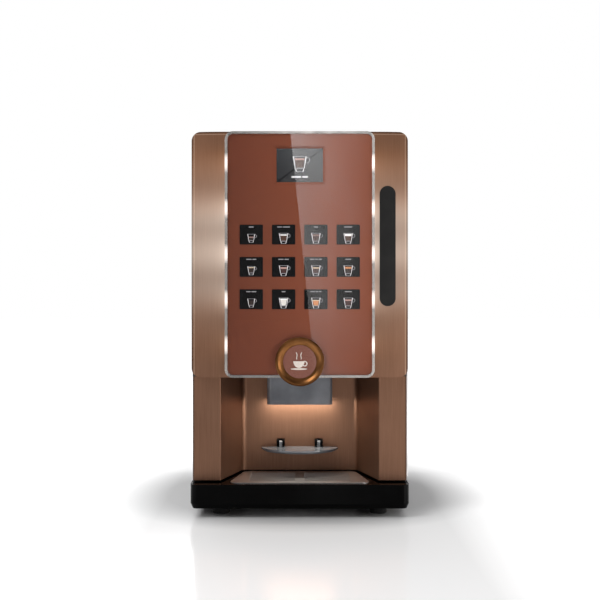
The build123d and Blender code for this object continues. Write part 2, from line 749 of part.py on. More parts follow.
with BuildPart() as hopper_lid:
    with BuildSketch(Plane.XY.offset(cover_top + bean_lid_gap)):
        with Locations((grinder_x, grinder_y)):
            RectangleRounded(lid_width, lid_depth, 8)
    extrude(amount=bean_lid_thickness)
    for x_post, x_knuckle in lid_hinges:
        with BuildSketch(Plane.YZ.offset(x_knuckle - lid_knuckle / 2)):
            with Locations((y_lid_hinge, cover_top)):
                Circle(lid_hinge_radius - bean_lid_gap)
            lid_middle = cover_top + bean_lid_gap + bean_lid_thickness / 2
            with Locations((y_lid_hinge - lid_hinge_edge, lid_middle)):
                Rectangle(2 * lid_hinge_edge, bean_lid_thickness - bean_lid_gap)
        extrude(amount=lid_knuckle)
        with BuildSketch(Plane.YZ.offset(min(x_post, x_knuckle))):
            with Locations((y_lid_hinge, cover_top)):
                Circle(lid_pin_radius)
        extrude(amount=abs(x_post - x_knuckle))
hopper_lid.part.label = "hopper_lid"
export_step(hopper_lid.part, "parts/hopper_lid.step")

# ---------------------------------------------------------------- grinder
grinder_radius = 55.0
burr_chamber_radius = 40.0
burr_radius = 36.0
burr_thickness = 8.0
burr_chamber_low = base_top + 439.0
burr_shaft_radius = 5.0
burr_shaft_low = base_top + 397.0
chute_size = 24.0
chute_wall = 3.0
chute_low = base_top + 311.0
chute_y = y_niche + 23.0

grinder_low = grinder_shelf_z + chassis_sheet

with BuildPart() as grinder_body:
    with Locations((grinder_x, grinder_y, grinder_low)):
        Cylinder(grinder_radius, neck_low - grinder_low, align=(Align.CENTER, Align.CENTER, Align.MIN))
    chute_top = burr_chamber_low + chute_size
    with BuildSketch(Plane.XY.offset(chute_low)):
        with Locations((grinder_x, chute_y)):
            Rectangle(chute_size, chute_size)
    extrude(amount=chute_top - chute_low)
    with BuildSketch(Plane.XY.offset(burr_chamber_low)):
        with Locations((grinder_x, (chute_y + grinder_y) / 2)):
            Rectangle(chute_size, grinder_y - chute_y)
    extrude(amount=chute_size)
    with BuildSketch(Plane.XY.offset(burr_chamber_low)):
        with Locations((grinder_x, grinder_y)):
            Circle(burr_chamber_radius)
    extrude(amount=neck_low - burr_chamber_low - 4, mode=Mode.SUBTRACT)
    with BuildSketch(Plane.XY.offset(burr_chamber_low)):
        with Locations((grinder_x, grinder_y)):
            Circle(neck_bore / 2)
    extrude(amount=neck_low - burr_chamber_low, mode=Mode.SUBTRACT)
    with BuildSketch(Plane.XY.offset(burr_chamber_low)):
        with Locations((grinder_x, (chute_y + grinder_y) / 2)):
            Rectangle(chute_size - 2 * chute_wall, grinder_y - chute_y)
    extrude(amount=chute_size - chute_wall, mode=Mode.SUBTRACT)
    with BuildSketch(Plane.XY.offset(chute_low)):
        with Locations((grinder_x, chute_y)):
            Rectangle(chute_size - 2 * chute_wall, chute_size - 2 * chute_wall)
    extrude(amount=chute_top - chute_low - chute_wall, mode=Mode.SUBTRACT)
    with BuildSketch(Plane.XY.offset(burr_shaft_low - 2)):
        with Locations((grinder_x, grinder_y)):
            Circle(burr_shaft_radius + running_gap)
    extrude(amount=burr_chamber_low - burr_shaft_low + 2, mode=Mode.SUBTRACT)
grinder_body.part.label = "grinder_body"
export_step(grinder_body.part, "parts/grinder_body.step")

with BuildPart() as grinding_burr:
    burr_low = burr_chamber_low + 4
    with Locations((grinder_x, grinder_y, burr_low)):
        Cylinder(burr_radius, burr_thickness, align=(Align.CENTER, Align.CENTER, Align.MIN))
    with Locations((grinder_x, grinder_y, burr_low + burr_thickness)):
        Cone(neck_bore / 2 - 2, burr_shaft_radius, 12, align=(Align.CENTER, Align.CENTER, Align.MIN))
    with Locations((grinder_x, grinder_y, burr_shaft_low)):
        Cylinder(burr_shaft_radius, burr_low - burr_shaft_low, align=(Align.CENTER, Align.CENTER, Align.MIN))
    with BuildSketch(Plane.XY.offset(burr_low + burr_thickness - 3)):
        with Locations((grinder_x, grinder_y)):
            with PolarLocations((neck_bore / 2 + burr_radius) / 2, 12):
                Rectangle(burr_radius - neck_bore / 2, 2, rotation=20)
    extrude(amount=3, mode=Mode.SUBTRACT)
grinding_burr.part.label = "grinding_burr"
export_step(grinding_burr.part, "parts/grinding_burr.step")

# ---------------------------------------------------------------- brewer
brewer_y = y_niche + 65.0
brewer_low = base_top + 227.0
brewer_plate = 6.0
brewer_plate_width = 100.0
brewer_back_y = y_niche + 175.0
brewer_top = base_top + 379.0
brewer_arm_width = 40.0
spindle_y = y_niche + 130.0
spindle_radius = 4.0
spindle_low = base_top + 195.0
piston_radius = 25.0
piston_gap = 0.3
piston_low = base_top + 309.0
piston_tall = 18.0
piston_travel = 45.0
piston_rod_radius = 7.0
crosshead_low = base_top + 361.0
crosshead_tall = 10.0
brew_wall = 4.7
brew_floor = 10.0
brew_tall = 59.0
cone_radius = 56.0
cone_tall = 15.0
brew_pipe_radius = 5.0
brew_pipe_length = 10.0

with BuildPart() as brewer_frame:
    brew_outer = piston_radius + piston_gap + brew_wall
    brew_low = brewer_low + brewer_plate
    brew_high = brew_low + brew_tall
    with BuildSketch(Plane.XY.offset(brewer_low)):
        with BuildLine():
            Polyline(
                (grinder_x - brewer_plate_width / 2, brewer_y - brewer_plate_width / 2),
                (grinder_x + brewer_plate_width / 2, brewer_y - brewer_plate_width / 2),
                (grinder_x + brewer_plate_width / 2, bulkhead_y),
                (grinder_x - brewer_plate_width / 2, bulkhead_y),
                close=True,
            )
        make_face()
    extrude(amount=brewer_plate)
    with BuildSketch(Plane.XY.offset(brewer_low)):
        with Locations((grinder_x, brewer_back_y - brewer_plate / 2)):
            Rectangle(brewer_arm_width, brewer_plate)
    extrude(amount=brewer_top - brewer_low)
    with BuildSketch(Plane.XY.offset(brewer_top - brewer_plate)):
        with BuildLine():
            Polyline(
                (grinder_x - brewer_arm_width / 2, spindle_y - 4 * spindle_radius),
                (grinder_x + brewer_arm_width / 2, spindle_y - 4 * spindle_radius),
                (grinder_x + brewer_arm_width / 2, brewer_back_y),
                (grinder_x - brewer_arm_width / 2, brewer_back_y),
                close=True,
            )
        make_face()
    extrude(amount=brewer_plate)
    with Locations((grinder_x, brewer_y, brew_low)):
        Cylinder(brew_outer, brew_tall, align=(Align.CENTER, Align.CENTER, Align.MIN))
    with Locations((grinder_x, brewer_y, brew_high)):
        Cone(brew_outer, cone_radius, cone_tall, align=(Align.CENTER, Align.CENTER, Align.MIN))
    with Locations((grinder_x, brewer_y, brewer_low - brew_pipe_length)):
        Cylinder(brew_pipe_radius, brew_pipe_length, align=(Align.CENTER, Align.CENTER, Align.MIN))
    with Locations((grinder_x, brewer_y, brew_high)):
        Cone(
            piston_radius + piston_gap,
            cone_radius - 2,
            cone_tall,
            align=(Align.CENTER, Align.CENTER, Align.MIN),
            mode=Mode.SUBTRACT,
        )
    with BuildSketch(Plane.XY.offset(brewer_low + brew_floor + brewer_plate)):
        with Locations((grinder_x, brewer_y)):
            Circle(piston_radius + piston_gap)
    extrude(amount=brew_tall - brew_floor, mode=Mode.SUBTRACT)
    with BuildSketch(Plane.XY.offset(brewer_low - brew_pipe_length)):
        with Locations((grinder_x, brewer_y)):
            Circle(brew_pipe_radius / 2)
    extrude(amount=brew_pipe_length + brewer_plate + brew_floor, mode=Mode.SUBTRACT)
    with BuildSketch(Plane.XY.offset(brewer_low)):
        with Locations((grinder_x, spindle_y)):
            Circle(spindle_radius + running_gap)
    extrude(amount=brewer_top - brewer_low, mode=Mode.SUBTRACT)
brewer_frame.part.label = "brewer_frame"
export_step(brewer_frame.part, "parts/brewer_frame.step")

with BuildPart() as brewer_piston:
    with Locations((grinder_x, brewer_y, piston_low)):
        Cylinder(piston_radius, piston_tall, align=(Align.CENTER, Align.CENTER, Align.MIN))
        upwards = (Align.CENTER, Align.CENTER, Align.MIN)
        Cylinder(piston_rod_radius, crosshead_low - piston_low, align=upwards)
    with BuildSketch(Plane.XY.offset(crosshead_low)):
        with Locations((grinder_x, (brewer_y + spindle_y) / 2)):
            SlotCenterToCenter(spindle_y - brewer_y, 5 * spindle_radius, rotation=90)
    extrude(amount=crosshead_tall)
    with BuildSketch(Plane.XY.offset(crosshead_low)):
        with Locations((grinder_x, spindle_y)):
            Circle(spindle_radius + running_gap)
    extrude(amount=crosshead_tall, mode=Mode.SUBTRACT)
brewer_piston.part.label = "brewer_piston"
export_step(brewer_piston.part, "parts/brewer_piston.step")

with BuildPart() as brewer_spindle:
    with Locations((grinder_x, spindle_y, spindle_low)):
        Cylinder(spindle_radius, brewer_top - spindle_low, align=(Align.CENTER, Align.CENTER, Align.MIN))
brewer_spindle.part.label = "brewer_spindle"
export_step(brewer_spindle.part, "parts/brewer_spindle.step")

with BuildPart() as gear_motors:
    places = [(x, auger_z, bulkhead_y + chassis_sheet + motor_length) for x in auger_x]
    places += [(x, mixer_z, mixer_plate_y) for x in auger_x]
    for x, z, back in places:
        with BuildSketch(Plane.XZ.offset(-back)):
            with Locations((x, z)):
                Circle(motor_radius)
        extrude(amount=motor_length)
        with BuildSketch(Plane.XZ.offset(-back)):
            with Locations((x, z)):
                RectangleRounded(2 * motor_flange, motor_radius, 4)
        extrude(amount=4)
        with BuildSketch(Plane.XZ.offset(-back + motor_length)):
            with Locations((x, z)):
                Circle(shaft_radius + running_gap)
        extrude(amount=-shaft_depth - 2, mode=Mode.SUBTRACT)
    with BuildSketch(Plane.XY.offset(brewer_low)):
        with Locations((grinder_x, spindle_y)):
            Circle(motor_radius)
    extrude(amount=-motor_length)
    with BuildSketch(Plane.XY.offset(brewer_low)):
        with Locations((grinder_x, spindle_y)):
            Circle(spindle_radius + running_gap)
    extrude(amount=spindle_low - brewer_low, mode=Mode.SUBTRACT)
gear_motors.part.label = "gear_motors"
export_step(gear_motors.part, "parts/gear_motors.step")

# ---------------------------------------------------------------- waste bin
bin_width = 130.0
bin_front = y_niche + 20.0
bin_back = y_niche + 210.0
bin_tall = 162.0
bin_wall = 2.5

with BuildPart() as waste_bin:
    with BuildSketch(Plane.XY.offset(base_top)):
        with Locations((grinder_x, (bin_front + bin_back) / 2)):
            RectangleRounded(bin_width, bin_back - bin_front, 10)
    extrude(amount=bin_tall)
    with BuildSketch(Plane.XY.offset(base_top + bin_wall)):
        with Locations((grinder_x, (bin_front + bin_back) / 2)):
            RectangleRounded(bin_width - 2 * bin_wall, bin_back - bin_front - 2 * bin_wall, 10 - bin_wall)
    extrude(amount=bin_tall, mode=Mode.SUBTRACT)
waste_bin.part.label = "waste_bin"
export_step(waste_bin.part, "parts/waste_bin.step")

# ---------------------------------------------------------------- nozzle arm and drink hoses
arm_half = 24.0
arm_front = y_niche - 45.0
arm_back = y_niche + 55.0
arm_low = base_top + 163.0
arm_tall = 22.0
tail_half = 12.0
nozzle_radius = 5.0
nozzle_length = 16.0
nozzle_pitch = 14.0
nozzle_y = y_niche - 30.0
stub_radius = 4.0
stub_length = 8.0
stub_y = y_niche + 35.0
hose_radius = 5.0

arm_top = arm_low + arm_tall
arm_middle = arm_low + arm_tall / 2

with BuildPart() as nozzle_arm:
    with BuildSketch(Plane.XY.offset(arm_low)) as arm_plan:
        with Locations((0, (arm_front + arm_back) / 2)):
            RectangleRounded(2 * arm_half, arm_back - arm_front, 8)
    extrude(amount=arm_tall)
    with BuildSketch(Plane.XZ.offset(-bulkhead_y)):
        with Locations((0, arm_middle)):
            Rectangle(2 * tail_half, brewer_plate)
    extrude(amount=bulkhead_y - arm_back + 4)
    with BuildSketch(Plane.XY.offset(arm_low - nozzle_length)):
        with Locations((0, nozzle_y)):
            with GridLocations(nozzle_pitch, 1, 3, 1):
                Circle(nozzle_radius)
    extrude(amount=nozzle_length)
    with BuildSketch(Plane.XY.offset(arm_top)):
        with Locations((0, stub_y)):
            Circle(stub_radius)
    extrude(amount=stub_length)
    with BuildSketch(Plane.YZ.offset(-arm_half - stub_length)):
        with Locations((stub_y, arm_middle)):
            Circle(stub_radius)
    extrude(amount=2 * (arm_half + stub_length))
    with BuildSketch(Plane.XY.offset(arm_low - nozzle_length)):
        with Locations((0, nozzle_y)):
            with GridLocations(nozzle_pitch, 1, 3, 1):
                Circle(nozzle_radius - 2)
    extrude(amount=nozzle_length + arm_tall / 2, mode=Mode.SUBTRACT)
nozzle_arm.part.label = "nozzle_arm"
export_step(nozzle_arm.part, "parts/nozzle_arm.step")


def bend_radii(points):
    """Largest even bend at each inner point: 0.45 of the shorter run beside it."""
    radii = []
    for before, here, after in zip(points, points[1:], points[2:]):
        run_in = Vector(*here) - Vector(*before)
        run_out = Vector(*after) - Vector(*here)
        shorter = min(run_in.length, run_out.length)
        radii.append(0.45 * shorter / math.tan(math.radians(run_in.get_angle(run_out)) / 2))
    return radii


mixer_outlet_y = y_bowl + bowl_radius
mixer_outlet_z = mixer_z - chamber_radius - outlet_pipe_length
hose_routes = [
    [
        (grinder_x, brewer_y, brewer_low - brew_pipe_length),
        (grinder_x, brewer_y, 268),
        (-71, -68, 255),
        (-52, stub_y, arm_middle),
        (-arm_half - stub_length, stub_y, arm_middle),
    ],
    [
        (auger_x[0], mixer_outlet_y, mixer_outlet_z),
        (auger_x[0], mixer_outlet_y, 332),
        (28, -99, 310),
        (0, stub_y, 290),
        (0, stub_y, arm_top + stub_length),
    ],
    [
        (auger_x[1], mixer_outlet_y, mixer_outlet_z),
        (auger_x[1], mixer_outlet_y, 334),
        (126, -102, 306),
        (90, -85, 266),
        (60, stub_y, arm_middle),
        (arm_half + stub_length, stub_y, arm_middle),
    ],
]

with BuildPart() as drink_hoses:
    for route in hose_routes:
        radii = bend_radii(route)
        print("hose radii", [round(radius, 1) for radius in radii])
        with BuildLine() as hose_path:
            FilletPolyline(*route, radius=radii)
        with BuildSketch(Plane(origin=route[0], z_dir=hose_path.line % 0)):
            Circle(hose_radius)
        sweep(path=hose_path.line)
drink_hoses.part.label = "drink_hoses"
export_step(drink_hoses.part, "parts/drink_hoses.step")

# ---------------------------------------------------------------- water and power, behind the bulkhead
rear_bay = bulkhead_y + chassis_sheet
boiler_x = -100.0
boiler_y = bulkhead_y + 80.0
boiler_radius = 55.0
boiler_low = base_top + 227.0
boiler_tall = 190.0
boiler_strap = 40.0
valve_pitch = 32.0
valve_stem = 9.0
valve_stem_tall = 14.0
valve_coil = 26.0
pump_x = 95.0
pump_y = bulkhead_y + 80.0
pump_z = base_top + 45.0
pump_radius = 33.0
pump_length = 90.0
pump_head_radius = 24.0
pump_head_length = 30.0
pump_foot = 50.0
tank_x = 110.0
tank_low = base_top + 497.0
tank_width = 84.0
tank_depth = 84.0
tank_tall = 110.0
tank_wall = 2.0
float_radius = 26.0
float_tall = 18.0
float_rest = 8.0
float_rod = 3.0
board_left = -190.0
board_right = -10.0
board_low = base_top + 472.0
board_high = base_top + 617.0
board_spacer = 10.0
board_sheet = 1.6
supply_left = -105.0
supply_right = -15.0
supply_depth = 100.0
supply_tall = 70.0

with BuildPart() as boiler:
    with Locations((boiler_x, boiler_y, boiler_low)):
        Cylinder(boiler_radius, boiler_tall, align=(Align.CENTER, Align.CENTER, Align.MIN))
    fillet(boiler.edges().filter_by(GeomType.CIRCLE), 10)
    with BuildSketch(Plane.XZ.offset(-rear_bay)):
        with Locations((boiler_x, boiler_low + boiler_tall / 2)):
            Rectangle(boiler_strap, boiler_tall - boiler_strap)
    extrude(amount=rear_bay - boiler_y + boiler_radius - 8)
boiler.part.label = "boiler"
export_step(boiler.part, "parts/boiler.step")

with BuildPart() as solenoid_valves:
    with BuildSketch(Plane.XY.offset(boiler_low + boiler_tall)):
        with Locations((boiler_x, boiler_y)):
            with GridLocations(valve_pitch, 1, 3, 1):
                Circle(valve_stem)
    extrude(amount=valve_stem_tall)
    with BuildSketch(Plane.XY.offset(boiler_low + boiler_tall + valve_stem_tall)):
        with Locations((boiler_x, boiler_y)):
            with GridLocations(valve_pitch, 1, 3, 1):
                RectangleRounded(valve_coil, valve_coil + 6, 3)
    extrude(amount=valve_coil)
solenoid_valves.part.label = "solenoid_valves"
export_step(solenoid_valves.part, "parts/solenoid_valves.step")

with BuildPart() as water_pump:
    with BuildSketch(Plane.YZ.offset(pump_x - pump_length / 2)):
        with Locations((pump_y, pump_z)):
            Circle(pump_radius)
    extrude(amount=pump_length)
    with BuildSketch(Plane.YZ.offset(pump_x + pump_length / 2)):
        with Locations((pump_y, pump_z)):
            Circle(pump_head_radius)
    extrude(amount=pump_head_length)
    with BuildSketch(Plane.XY.offset(base_top)):
        with Locations((pump_x, pump_y)):
            Rectangle(pump_foot, pump_foot)
    extrude(amount=pump_z - base_top)
water_pump.part.label = "water_pump"
export_step(water_pump.part, "parts/water_pump.step")

tank_y = rear_bay + tank_depth / 2

with BuildPart() as air_break_tank:
    with BuildSketch(Plane.XY.offset(tank_low)):
        with Locations((tank_x, tank_y)):
            Rectangle(tank_width, tank_depth)
    extrude(amount=tank_tall)
    with BuildSketch(Plane.XY.offset(tank_low + tank_wall)):
        with Locations((tank_x, tank_y)):
            Rectangle(tank_width - 2 * tank_wall, tank_depth - 2 * tank_wall)
    extrude(amount=tank_tall, mode=Mode.SUBTRACT)
    with BuildSketch(Plane.XY.offset(tank_low)):
        with Locations((tank_x, tank_y)):
            Circle(float_rod)
    extrude(amount=tank_tall)
air_break_tank.part.label = "air_break_tank"
export_step(air_break_tank.part, "parts/air_break_tank.step")

with BuildPart() as tank_float:
    with BuildSketch(Plane.XY.offset(tank_low + tank_wall + float_rest)):
        with Locations((tank_x, tank_y)):
            Circle(float_radius)
            Circle(float_rod + 2 * running_gap, mode=Mode.SUBTRACT)
    extrude(amount=float_tall)
tank_float.part.label = "tank_float"
export_step(tank_float.part, "parts/tank_float.step")

with BuildPart() as control_board:
    board_x = (board_left + board_right) / 2
    board_z = (board_low + board_high) / 2
    board_width = board_right - board_left
    board_height = board_high - board_low
    with BuildSketch(Plane.XZ.offset(-rear_bay)):
        with Locations((board_x, board_z)):
            with GridLocations(board_width - 16, board_height - 16, 2, 2):
                Circle(4)
    extrude(amount=-board_spacer)
    with BuildSketch(Plane.XZ.offset(-rear_bay - board_spacer)):
        with Locations((board_x, board_z)):
            Rectangle(board_width, board_height)
    extrude(amount=-board_sheet)
    with BuildSketch(Plane.XZ.offset(-rear_bay - board_spacer - board_sheet)):
        with Locations((board_x - 40, board_z + 20)):
            Rectangle(40, 40)
        with Locations((board_x + 35, board_z)):
            with GridLocations(24, 30, 3, 3):
                Rectangle(16, 18)
        with Locations((board_x, board_low + 10)):
            Rectangle(board_width - 60, 8)
    extrude(amount=-12)
control_board.part.label = "control_board"
export_step(control_board.part, "parts/control_board.step")

with BuildPart() as power_supply:
    with BuildSketch(Plane.XY.offset(base_top)):
        with Locations(((supply_left + supply_right) / 2, rear_bay + 10 + supply_depth / 2)):
            Rectangle(supply_right - supply_left, supply_depth)
    extrude(amount=supply_tall)
    with BuildSketch(Plane.XY.offset(base_top + supply_tall)):
        with Locations(((supply_left + supply_right) / 2, rear_bay + 10 + supply_depth / 2)):
            with GridLocations(10, supply_depth, 7, 1):
                Rectangle(4, supply_depth - 24)
    extrude(amount=-2, mode=Mode.SUBTRACT)
power_supply.part.label = "power_supply"
export_step(power_supply.part, "parts/power_supply.step")

# ---------------------------------------------------------------- lock
lock_ring_radius = 12.5
lock_plug_radius = 6.0
lock_reach = 23.0  # barrel length inside the cabinet side
lock_cam_thickness = 3.0
lock_cam_length = 32.0
lock_cam_width = 12.0
lock_hook = 8.0
lock_key_wide = 2.0
lock_key_long = 8.0
strike_drop = 8.0  # lock axis to the strike's upper edge
strike_tall = 24.0
strike_length = 32.0
strike_sheet = 1.5

x_lock_out = -half_body - lock_proud
x_lock_in = -half_body + lock_reach

with BuildPart() as lock_barrel:
    with BuildSketch(Plane.YZ.offset(x_lock_out)):
        with Locations((y_lock, lock_height)):
            Circle(lock_ring_radius)
    extrude(amount=lock_proud)
    chamfer(lock_barrel.faces().sort_by(Axis.X)[0].edges(), 1.0)
    with BuildSketch(Plane.YZ.offset(-half_body)):
        with Locations((y_lock, lock_height)):
            Circle(lock_body_radius - running_gap)
    extrude(amount=lock_reach)
    with BuildSketch(Plane.YZ.offset(x_lock_out)):
        with Locations((y_lock, lock_height)):
            Circle(lock_plug_radius + running_gap)
    extrude(amount=lock_reach + lock_proud, mode=Mode.SUBTRACT)
lock_barrel.part.label = "lock_barrel"
export_step(lock_barrel.part, "parts/lock_barrel.step")

with BuildPart() as lock_plug:
    with BuildSketch(Plane.YZ.offset(x_lock_out + seat_gap)):
        with Locations((y_lock, lock_height)):
            Circle(lock_plug_radius)
    extrude(amount=lock_reach + lock_proud)
    with BuildSketch(Plane.YZ.offset(x_lock_in + seat_gap)):
        with Locations((y_lock, lock_height)):
            Circle(lock_cam_width / 2)
        with Locations((y_lock, lock_height + lock_cam_length / 2)):
            Rectangle(lock_cam_width, lock_cam_length)
        hook_middle = y_lock - (lock_cam_width + lock_hook) / 2
        with Locations((hook_middle, lock_height + lock_cam_length - lock_cam_thickness)):
            Rectangle(lock_hook, 2 * lock_cam_thickness)
    extrude(amount=lock_cam_thickness)
    with BuildSketch(Plane.YZ.offset(x_lock_out + seat_gap)):
        with Locations((y_lock, lock_height)):
            Rectangle(lock_key_wide, lock_key_long)
    extrude(amount=lock_reach / 2, mode=Mode.SUBTRACT)
lock_plug.part.label = "lock_plug"
export_step(lock_plug.part, "parts/lock_plug.step")

# ---------------------------------------------------------------- piano hinge
hinge_low = door_bottom + hinge_end
knuckles = int((door_top - hinge_end - hinge_low) / knuckle_pitch)
hinge_length = knuckles * knuckle_pitch
leaf_start = hinge_radius + knuckle_gap


def hinge_leaf(direction, first):
    """One leaf with every second knuckle; direction is +1 for the cabinet's side."""
    with BuildPart() as leaf:
        with BuildSketch(Plane.XY.offset(hinge_low)):
            with Locations((half_body + sheet / 2, y_hinge + direction * (leaf_start + leaf_width) / 2)):
                Rectangle(sheet, leaf_width - leaf_start)
        extrude(amount=hinge_length - knuckle_gap)
        for index in range(first, knuckles, 2):
            knuckle_low = hinge_low + index * knuckle_pitch
            with BuildSketch(Plane.XY.offset(knuckle_low)):
                with Locations((x_hinge, y_hinge)):
                    Circle(hinge_radius)
                with Locations((half_body + sheet / 2, y_hinge + direction * leaf_start)):
                    Rectangle(sheet, hinge_radius)
                with Locations((x_hinge, y_hinge)):
                    Circle(hinge_pin_radius + running_gap, mode=Mode.SUBTRACT)
            extrude(amount=knuckle_pitch - knuckle_gap)
    return leaf


cabinet_leaf = hinge_leaf(1, 0)
cabinet_leaf.part.label = "cabinet_hinge_leaf"
export_step(cabinet_leaf.part, "parts/cabinet_hinge_leaf.step")

door_leaf = hinge_leaf(-1, 1)
door_leaf.part.label = "door_hinge_leaf"
export_step(door_leaf.part, "parts/door_hinge_leaf.step")

with BuildPart() as hinge_pin:
    with Locations((x_hinge, y_hinge, hinge_low)):
        Cylinder(
            hinge_pin_radius,
            hinge_length - knuckle_gap,
            align=(Align.CENTER, Align.CENTER, Align.MIN),
        )
hinge_pin.part.label = "hinge_pin"
export_step(hinge_pin.part, "parts/hinge_pin.step")

# ---------------------------------------------------------------- upper door fascia
fascia_corner = 17.0
flat_half = 142.0  # the flat middle that carries the glass
side_drop = 6.0  # how far the outer edges fall back
glass_width = 280.0
glass_corner = 15.0
glass_rim = 4.5
glass_thickness = 4.0
rim_back = 1.0  # rim front behind glass front
window_inset = 20.0
panel_thickness = 2.0
label_thickness = 0.5
fascia_round = 2.5
lamp_count = 5
lamp_pitch = 85.0
lamp_middle = base_top + 431.0
lamp_width = 3.6
lamp_length = 25.0
strip_width = 9.0
strip_sheet = 1.2
cover_x = 164.5
cover_z = base_top + 446.0
payment_width = 30.0
payment_length = 225.0
payment_proud = 2.5

glass_height = door_top - niche_top
glass_middle = (door_top + niche_top) / 2
x_lamp = glass_width / 2 - glass_rim / 2
y_panel = y_glass + glass_thickness + label_thickness
lamp_heights = [lamp_middle + (index - (lamp_count - 1) / 2) * lamp_pitch for index in range(lamp_count)]


def fascia_form(inset, back):
    """Outer form of the upper fascia as far as back, drawn smaller by inset."""
    half = half_body - inset
    front = y_fascia + inset
    width = half - flat_half
    bend_radius = (width**2 + side_drop**2) / (2 * side_drop)
    far = flat_half + width + skin
    far_front = front + bend_radius - math.sqrt(bend_radius**2 - (width + skin) ** 2)
    with BuildPart() as form:
        with BuildSketch(Plane.XZ.offset(-back)):
            with Locations((0, glass_middle)):
                RectangleRounded(2 * half, glass_height - 2 * inset, fascia_corner - inset)
        extrude(amount=back - front)
        with BuildSketch(Plane.XY.offset(niche_top - skin)):
            with BuildLine():
                Line((-flat_half, front), (flat_half, front))
                TangentArc((flat_half, front), (far, far_front), tangent=(1, 0))
                TangentArc((-flat_half, front), (-far, far_front), tangent=(-1, 0))
                Polyline((far, far_front), (far, back + skin), (-far, back + skin), (-far, far_front))
            make_face()
        extrude(amount=glass_height + 2 * skin, mode=Mode.INTERSECT)
    return form.part


fascia_outside = fascia_form(0, y_pillar)
fascia_inside = fascia_form(skin, y_pillar + skin)

with BuildPart() as upper_fascia:
    add(fascia_outside)
    add(fascia_inside, mode=Mode.SUBTRACT)
    with BuildSketch(Plane.XZ.offset(-y_fascia - skin)):
        with Locations((0, glass_middle)):
            Rectangle(glass_width - 2 * window_inset, glass_height - 2 * window_inset)
        for lamp_z in lamp_heights:
            with Locations((-x_lamp, lamp_z), (x_lamp, lamp_z)):
                Rectangle(lamp_width + 2 * seat_gap, lamp_length + 2 * seat_gap)
    extrude(amount=2 * skin, mode=Mode.SUBTRACT)
upper_fascia.part.label = "upper_fascia"
export_step(upper_fascia.part, "parts/upper_fascia.step")

with BuildPart() as light_frame:
    with BuildSketch(Plane.XZ.offset(-y_fascia)):
        with Locations((0, glass_middle)):
            RectangleRounded(glass_width, glass_height, glass_corner)
    extrude(amount=y_fascia - y_glass - rim_back)
    with BuildSketch(Plane.XZ.offset(-y_fascia)):
        with Locations((0, glass_middle)):
            RectangleRounded(
                glass_width - 1.5 * window_inset,
                glass_height - 1.5 * window_inset,
                glass_corner / 2,
            )
    extrude(amount=y_fascia - y_glass, mode=Mode.SUBTRACT)
    with BuildSketch(Plane.XZ.offset(-y_panel - panel_thickness)):
        with Locations((0, glass_middle)):
            RectangleRounded(
                glass_width - 2 * glass_rim,
                glass_height - 2 * glass_rim,
                glass_corner - glass_rim,
            )
    extrude(amount=y_fascia - y_glass, mode=Mode.SUBTRACT)
light_frame.part.label = "light_frame"
export_step(light_frame.part, "parts/light_frame.step")

with BuildPart() as front_glass:
    with BuildSketch(Plane.XZ.offset(-y_glass - glass_thickness)):
        with Locations((0, glass_middle)):
            RectangleRounded(
                glass_width - 2 * glass_rim - 2 * seat_gap,
                glass_height - 2 * glass_rim - 2 * seat_gap,
                glass_corner - glass_rim,
            )
    extrude(amount=glass_thickness)
    chamfer(front_glass.faces().sort_by(Axis.Y)[0].edges(), 0.5)
front_glass.part.label = "front_glass"
export_step(front_glass.part, "parts/front_glass.step")

# ---------------------------------------------------------------- display and keys
display_width = 87.0
display_height = 63.0
display_z = base_top + 596.5
display_depth = 10.0
key_width = 43.7
key_height = 37.2
key_pitch = 60.4
key_columns = 4
key_rows = 3
key_z = base_top + 406.8

with BuildPart() as touch_panel:
    with BuildSketch(Plane.XZ.offset(-y_panel - panel_thickness)):
        with Locations((0, glass_middle)):
            RectangleRounded(
                glass_width - 2 * glass_rim - 4 * seat_gap,
                glass_height - 2 * glass_rim - 4 * seat_gap,
                glass_corner - glass_rim,
            )
        with Locations((0, display_z)):
            Rectangle(display_width + 2 * seat_gap, display_height + 2 * seat_gap, mode=Mode.SUBTRACT)
    extrude(amount=panel_thickness)
touch_panel.part.label = "touch_panel"
export_step(touch_panel.part, "parts/touch_panel.step")

with BuildPart() as key_labels:
    with BuildSketch(Plane.XZ.offset(-y_panel)):
        with Locations((0, key_z)):
            with GridLocations(key_pitch, key_pitch, key_columns, key_rows):
                RectangleRounded(key_width, key_height, 2)
    extrude(amount=label_thickness)
key_labels.part.label = "key_labels"
export_step(key_labels.part, "parts/key_labels.step")

with BuildPart() as display_module:
    with BuildSketch(Plane.XZ.offset(-y_glass - glass_thickness - display_depth)):
        with Locations((0, display_z)):
            Rectangle(display_width, display_height)
    extrude(amount=display_depth)
    with BuildSketch(Plane.XZ.offset(-y_glass - glass_thickness - display_depth)):
        with Locations((0, display_z)):
            Rectangle(display_width + 8, display_height + 8)
    extrude(amount=-panel_thickness)
display_module.part.label = "display_module"
export_step(display_module.part, "parts/display_module.step")

with BuildPart() as payment_cover:
    add(fascia_form(-payment_proud - seat_gap, y_pillar))
    add(fascia_form(-seat_gap, y_pillar + skin), mode=Mode.SUBTRACT)
    with BuildSketch(Plane.XZ.offset(-y_pillar)):
        with Locations((cover_x, cover_z)):
            SlotOverall(payment_length, payment_width, rotation=90)
    extrude(amount=y_pillar - y_front, mode=Mode.INTERSECT)
payment_cover.part.label = "payment_cover"
export_step(payment_cover.part, "parts/payment_cover.step")

# ---------------------------------------------------------------- badge
badge_z = base_top + 230.0
badge_radius = 45.7
badge_inner = 31.0
badge_thickness = 3.0

